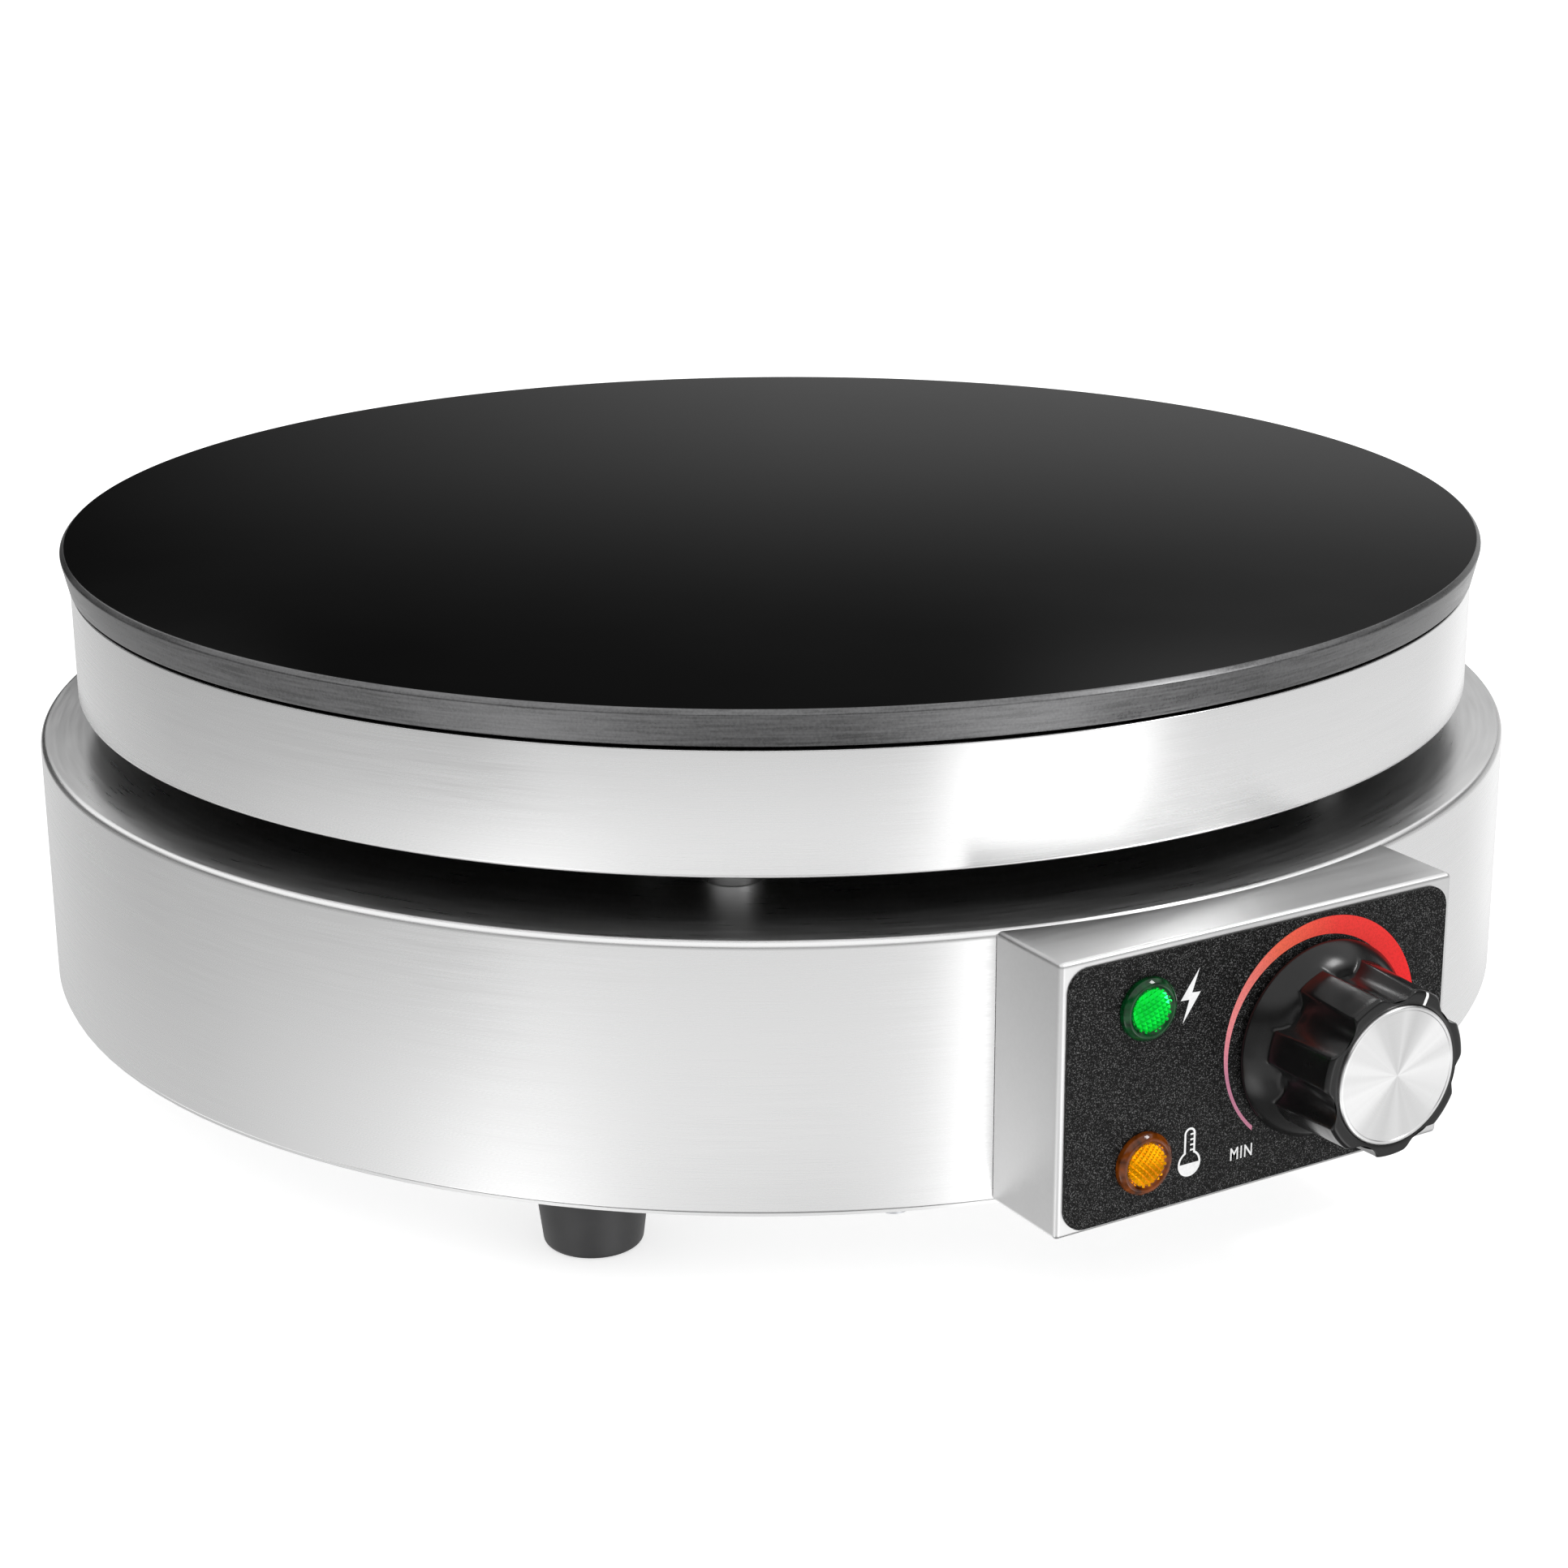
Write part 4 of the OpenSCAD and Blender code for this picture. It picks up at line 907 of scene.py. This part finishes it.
def posts():
    """The four turned posts between the drum and the ring."""
    lean = 34
    radius = 15.5 / 2 * MM
    bore = 3.3 * MM
    circle = RING_R - 34.2 * MM
    z_top = RING_BOTTOM + SHEET
    outline = soften([
        (bore, DRUM_TOP, 0), (radius, DRUM_TOP, 0.25 * MM), (radius, z_top, 0.4 * MM), (bore, z_top, 0),
    ])
    work = bmesh.new()
    for x, y in corners_round(circle, (-lean, lean, 180 - lean, 180 + lean)):
        single = mesh_from(lathe(outline, STEPS_SMALL), "post", Matrix.Translation((x, y, 0)))
        work.from_mesh(single)
    put("stand_off_posts", mesh_from(work, "stand_off_posts"), "polished_stainless", ["standoff_posts"])


def feet():
    """The rubber feet: tapered, with a soft edge and a well for the screw."""
    circle = 182 * MM
    top = high("rubber_feet", 2)
    bore = 2.6 * MM
    well = 6.5 * MM
    seat = FLOOR_Z + 10.5 * MM
    outline = soften([
        (bore, top, 0), (14.9 * MM, top, 0.3 * MM), (12.3 * MM, FLOOR_Z, 1.8 * MM),
        (well, FLOOR_Z, 0.5 * MM), (well, seat, 0), (bore, seat, 0),
    ], steps=8)
    work = bmesh.new()
    for x, y in corners_round(circle, (45, 135, 225, 315)):
        single = mesh_from(lathe(outline, STEPS_SMALL), "foot", Matrix.Translation((x, y, 0)))
        work.from_mesh(single)
    put("moulded_feet", mesh_from(work, "moulded_feet"), "foot_rubber", ["rubber_feet"])


def gland_nut():
    """The gland's cap nut, ribbed for the fingers."""
    ribs = 18

    def ribbed(angle, radius, height):
        on_wall = radius > 11 * MM
        return radius - 0.35 * MM * (0.5 - 0.5 * math.cos(ribs * angle)) if on_wall else radius

    bore = 8.05 * MM
    outer = 11.8 * MM
    mouth = 5.6 * MM
    back = 6.1 * MM
    front = 23 * MM
    step = 16.1 * MM
    outline = soften([
        (bore, back, 0), (outer, back, 0.5 * MM), (outer, 14 * MM, 1.5 * MM), (9.4 * MM, front, 1.4 * MM),
        (mouth, front, 0.5 * MM), (mouth, step, 0), (bore, step, 0),
    ])
    mesh = mesh_from(lathe(outline, ribs * 10, ribbed), "gland_ribbed_nut", on_back(GLAND_Z))
    put("gland_ribbed_nut", mesh, "gland_nylon", ["gland_cap_nut"])


griddle_plate()
ring_sheet()
drum_sheet()
box_sheet()
panel_overlay()
bolt_mark()
thermometer_mark()
word("low_word", "MIN", -4.6, -24.2)
word("high_word", "MAX", 41.0, -24.2)
heat_scale()
lamp("green", lamp_heights()[0], math.radians(20))
lamp("amber", lamp_heights()[1], math.radians(45))
knob_grip()
knob_pointer()
knob_spun_cap()
posts()
feet()
gland_nut()


def dress_frame():
    """Gives every CAD node that still shows a material: its slot's, or one set in its place."""
    # Painted shade: the pan floor gets near-black steel in place of its slot's material, so the gap under the
    # plate reads dark.
    painted_shade_slots = {"pan_floor": "painted_shade_steel"}
    for row in frame["record"]["subparts"]:
        node = frame["nodes"][row["node"]]
        if node.hide_render:
            continue
        name = painted_shade_slots.get(row["node"], row["material_slot"])
        node.data.materials.clear()
        node.data.materials.append(MATERIALS[name])


dress_frame()


# ---------------------------------------------------------------- camera, floor and light

def camera():
    """The photograph's viewing angle: in front, to the left and a little above."""
    swing = math.radians(-30.82)
    pitch = math.radians(18.17)
    roll = math.radians(-0.37)
    place = Matrix.Translation((-0.4570, -0.7727, 0.2114))
    lens = bpy.data.cameras.new("camera")
    lens.lens = 73.43
    lens.sensor_width = 36
    lens.clip_start = 0.01
    lens.clip_end = 50
    piece = bpy.data.objects.new("camera", lens)
    bpy.context.scene.collection.objects.link(piece)
    turn = Matrix.Rotation(swing, 4, "Z") @ Matrix.Rotation(math.radians(90) - pitch, 4, "X")
    piece.matrix_world = place @ turn @ Matrix.Rotation(roll, 4, "Z")
    bpy.context.scene.camera = piece


def floor():
    """A pale floor, partly lit by itself so that it runs into the white behind it."""
    work = bmesh.new()
    bmesh.ops.create_circle(work, cap_ends=True, segments=64, radius=6.0)
    mesh = mesh_from(work, "floor", Matrix.Translation((0, 0, FLOOR_Z - 0.1 * MM)))
    piece = bpy.data.objects.new("floor", mesh)
    bpy.context.scene.collection.objects.link(piece)
    made = Surface("floor", (0.75, 0.75, 0.75), 0.9)
    made.shader.inputs["Specular IOR Level"].default_value = 0.0
    made.shader.inputs["Emission Color"].default_value = (1, 1, 1, 1)
    made.shader.inputs["Emission Strength"].default_value = 0.66
    mesh.materials.append(made.material)
    piece.visible_glossy = False


# The studio round the object: pale walls with a few soft strips, as azimuth in degrees from the front,
# to the right, and brightness. Each band of height is mirrored by one part: the ring, the drum, the
# drum's rim, or the plate, which mirrors the sky.
RING_BAND = [
    (-180, 0.7), (-140, 0.5), (-75, 0.55), (-65, 0.8), (-6, 0.85), (0, 1.7), (27, 1.7), (33, 0.85),
    (100, 0.8), (124, 1.1), (180, 0.7),
]
DRUM_BAND = [
    (-180, 0.65), (-130, 0.65), (-76, 1.1), (-6, 1.0), (0, 1.5), (27, 1.5), (34, 0.9), (100, 0.85),
    (180, 0.65),
]
RIM_BAND = [
    (-180, 1.5), (-131, 0.65), (-100, 0.9), (-76, 2.4), (-53, 0.7), (-19, 0.4), (0, 1.3), (15, 2.8),
    (26, 2.4), (45, 0.5), (120, 0.5), (180, 1.5),
]
SKY_BAND = [
    (-180, 0.02), (-140, 0.3), (-65, 0.5), (-6, 0.5), (1, 0.8), (27, 0.8), (34, 0.5), (118, 0.55),
    (149, 0.3), (163, 0.02),
]
# Where the ceiling comes down lower, on either side of the far wall.
LOW_CEILING = [
    (-180, 1.0), (-165, 1.0), (-155, 0.0), (112, 0.0), (120, 1.0), (140, 1.0), (145, 0.0), (159, 0.0),
    (164, 1.0),
]
GROUND = 0.25
OVERHEAD = 1.1
# Heights in degrees above the horizon, where a band starts to come in and where it is full.
RIM_RISE = (-62, -50)
DRUM_RISE = (-39, -33)
RING_RISE = (-22.5, -19.5)
SKY_RISE = (-9, -2)
LOW_CEILING_RISE = (17, 23)
CEILING_RISE = (24, 38)
# The sky's band fades with height, from one share of its brightness to another.
SKY_FADE = (11, 18)
SKY_SHARES = (1.1, 0.25)


def studio():
    """The world: bands of light by height, and plain white behind the object."""
    world = bpy.data.worlds.new("studio")
    world.use_nodes = True
    bpy.context.scene.world = world
    tree = world.node_tree
    nodes = tree.nodes
    links = tree.links

    def add(kind, inputs, **settings):
        node = nodes.new(kind)
        for key, value in settings.items():
            setattr(node, key, value)
        for key, value in inputs.items():
            if isinstance(value, bpy.types.NodeSocket):
                links.new(value, node.inputs[key])
            else:
                node.inputs[key].default_value = value
        return node

    def band(share, stops):
        ramp = add("ShaderNodeValToRGB", {0: share})
        set_stops(ramp, [((degrees + 180) / 360, (level, level, level)) for degrees, level in stops])
        return ramp.outputs[0]

    def grey(level):
        return (level, level, level, 1)

    def rise(height, start, stop):
        inputs = {0: height, 1: math.sin(math.radians(start)), 2: math.sin(math.radians(stop))}
        return add("ShaderNodeMapRange", inputs, interpolation_type="SMOOTHSTEP").outputs[0]

    def mix(share, first, second):
        return add("ShaderNodeMix", {0: share, 6: first, 7: second}, data_type="RGBA").outputs[2]

    toward = add("ShaderNodeTexCoord", {}).outputs["Generated"]
    x, y, z = add("ShaderNodeSeparateXYZ", {0: toward}).outputs
    back = add("ShaderNodeMath", {0: y, 1: -1.0}, operation="MULTIPLY").outputs[0]
    azimuth = add("ShaderNodeMath", {0: x, 1: back}, operation="ARCTAN2").outputs[0]
    share = add("ShaderNodeMapRange", {0: azimuth, 1: -math.pi, 2: math.pi}).outputs[0]
    faded = {0: z, 1: math.sin(math.radians(SKY_FADE[0])), 2: math.sin(math.radians(SKY_FADE[1]))}
    faded.update({3: SKY_SHARES[0], 4: SKY_SHARES[1]})
    fade = add("ShaderNodeMapRange", faded).outputs[0]
    inputs = {0: 1.0, 6: band(share, SKY_BAND), 7: fade}
    sky = add("ShaderNodeMix", inputs, data_type="RGBA", blend_type="MULTIPLY").outputs[2]
    light = mix(rise(z, *RIM_RISE), grey(GROUND), band(share, RIM_BAND))
    light = mix(rise(z, *DRUM_RISE), light, band(share, DRUM_BAND))
    light = mix(rise(z, *RING_RISE), light, band(share, RING_BAND))
    light = mix(rise(z, *SKY_RISE), light, sky)
    inputs = {0: rise(z, *LOW_CEILING_RISE), 1: band(share, LOW_CEILING)}
    early = add("ShaderNodeMath", inputs, operation="MULTIPLY").outputs[0]
    ceiling = add("ShaderNodeMath", {0: rise(z, *CEILING_RISE), 1: early}, operation="MAXIMUM").outputs[0]
    light = mix(ceiling, light, grey(OVERHEAD))
    seen = add("ShaderNodeLightPath", {}).outputs["Is Camera Ray"]
    links.new(mix(seen, light, grey(1)), nodes["Background"].inputs["Color"])


def soft_light(name, place, target, size, power):
    """A square soft light aimed at a point."""
    lamp_data = bpy.data.lights.new(name, "AREA")
    lamp_data.shape = "SQUARE"
    lamp_data.size = size
    lamp_data.energy = power
    piece = bpy.data.objects.new(name, lamp_data)
    bpy.context.scene.collection.objects.link(piece)
    piece.location = place
    piece.rotation_mode = "QUATERNION"
    piece.rotation_quaternion = (Vector(target) - Vector(place)).to_track_quat("-Z", "Y")


camera()
floor()
studio()
soft_light("key_light", place=(0.66, -0.80, 0.90), target=(0, 0, -0.08), size=0.25, power=3.6)
bpy.context.scene.view_settings.view_transform = "Standard"
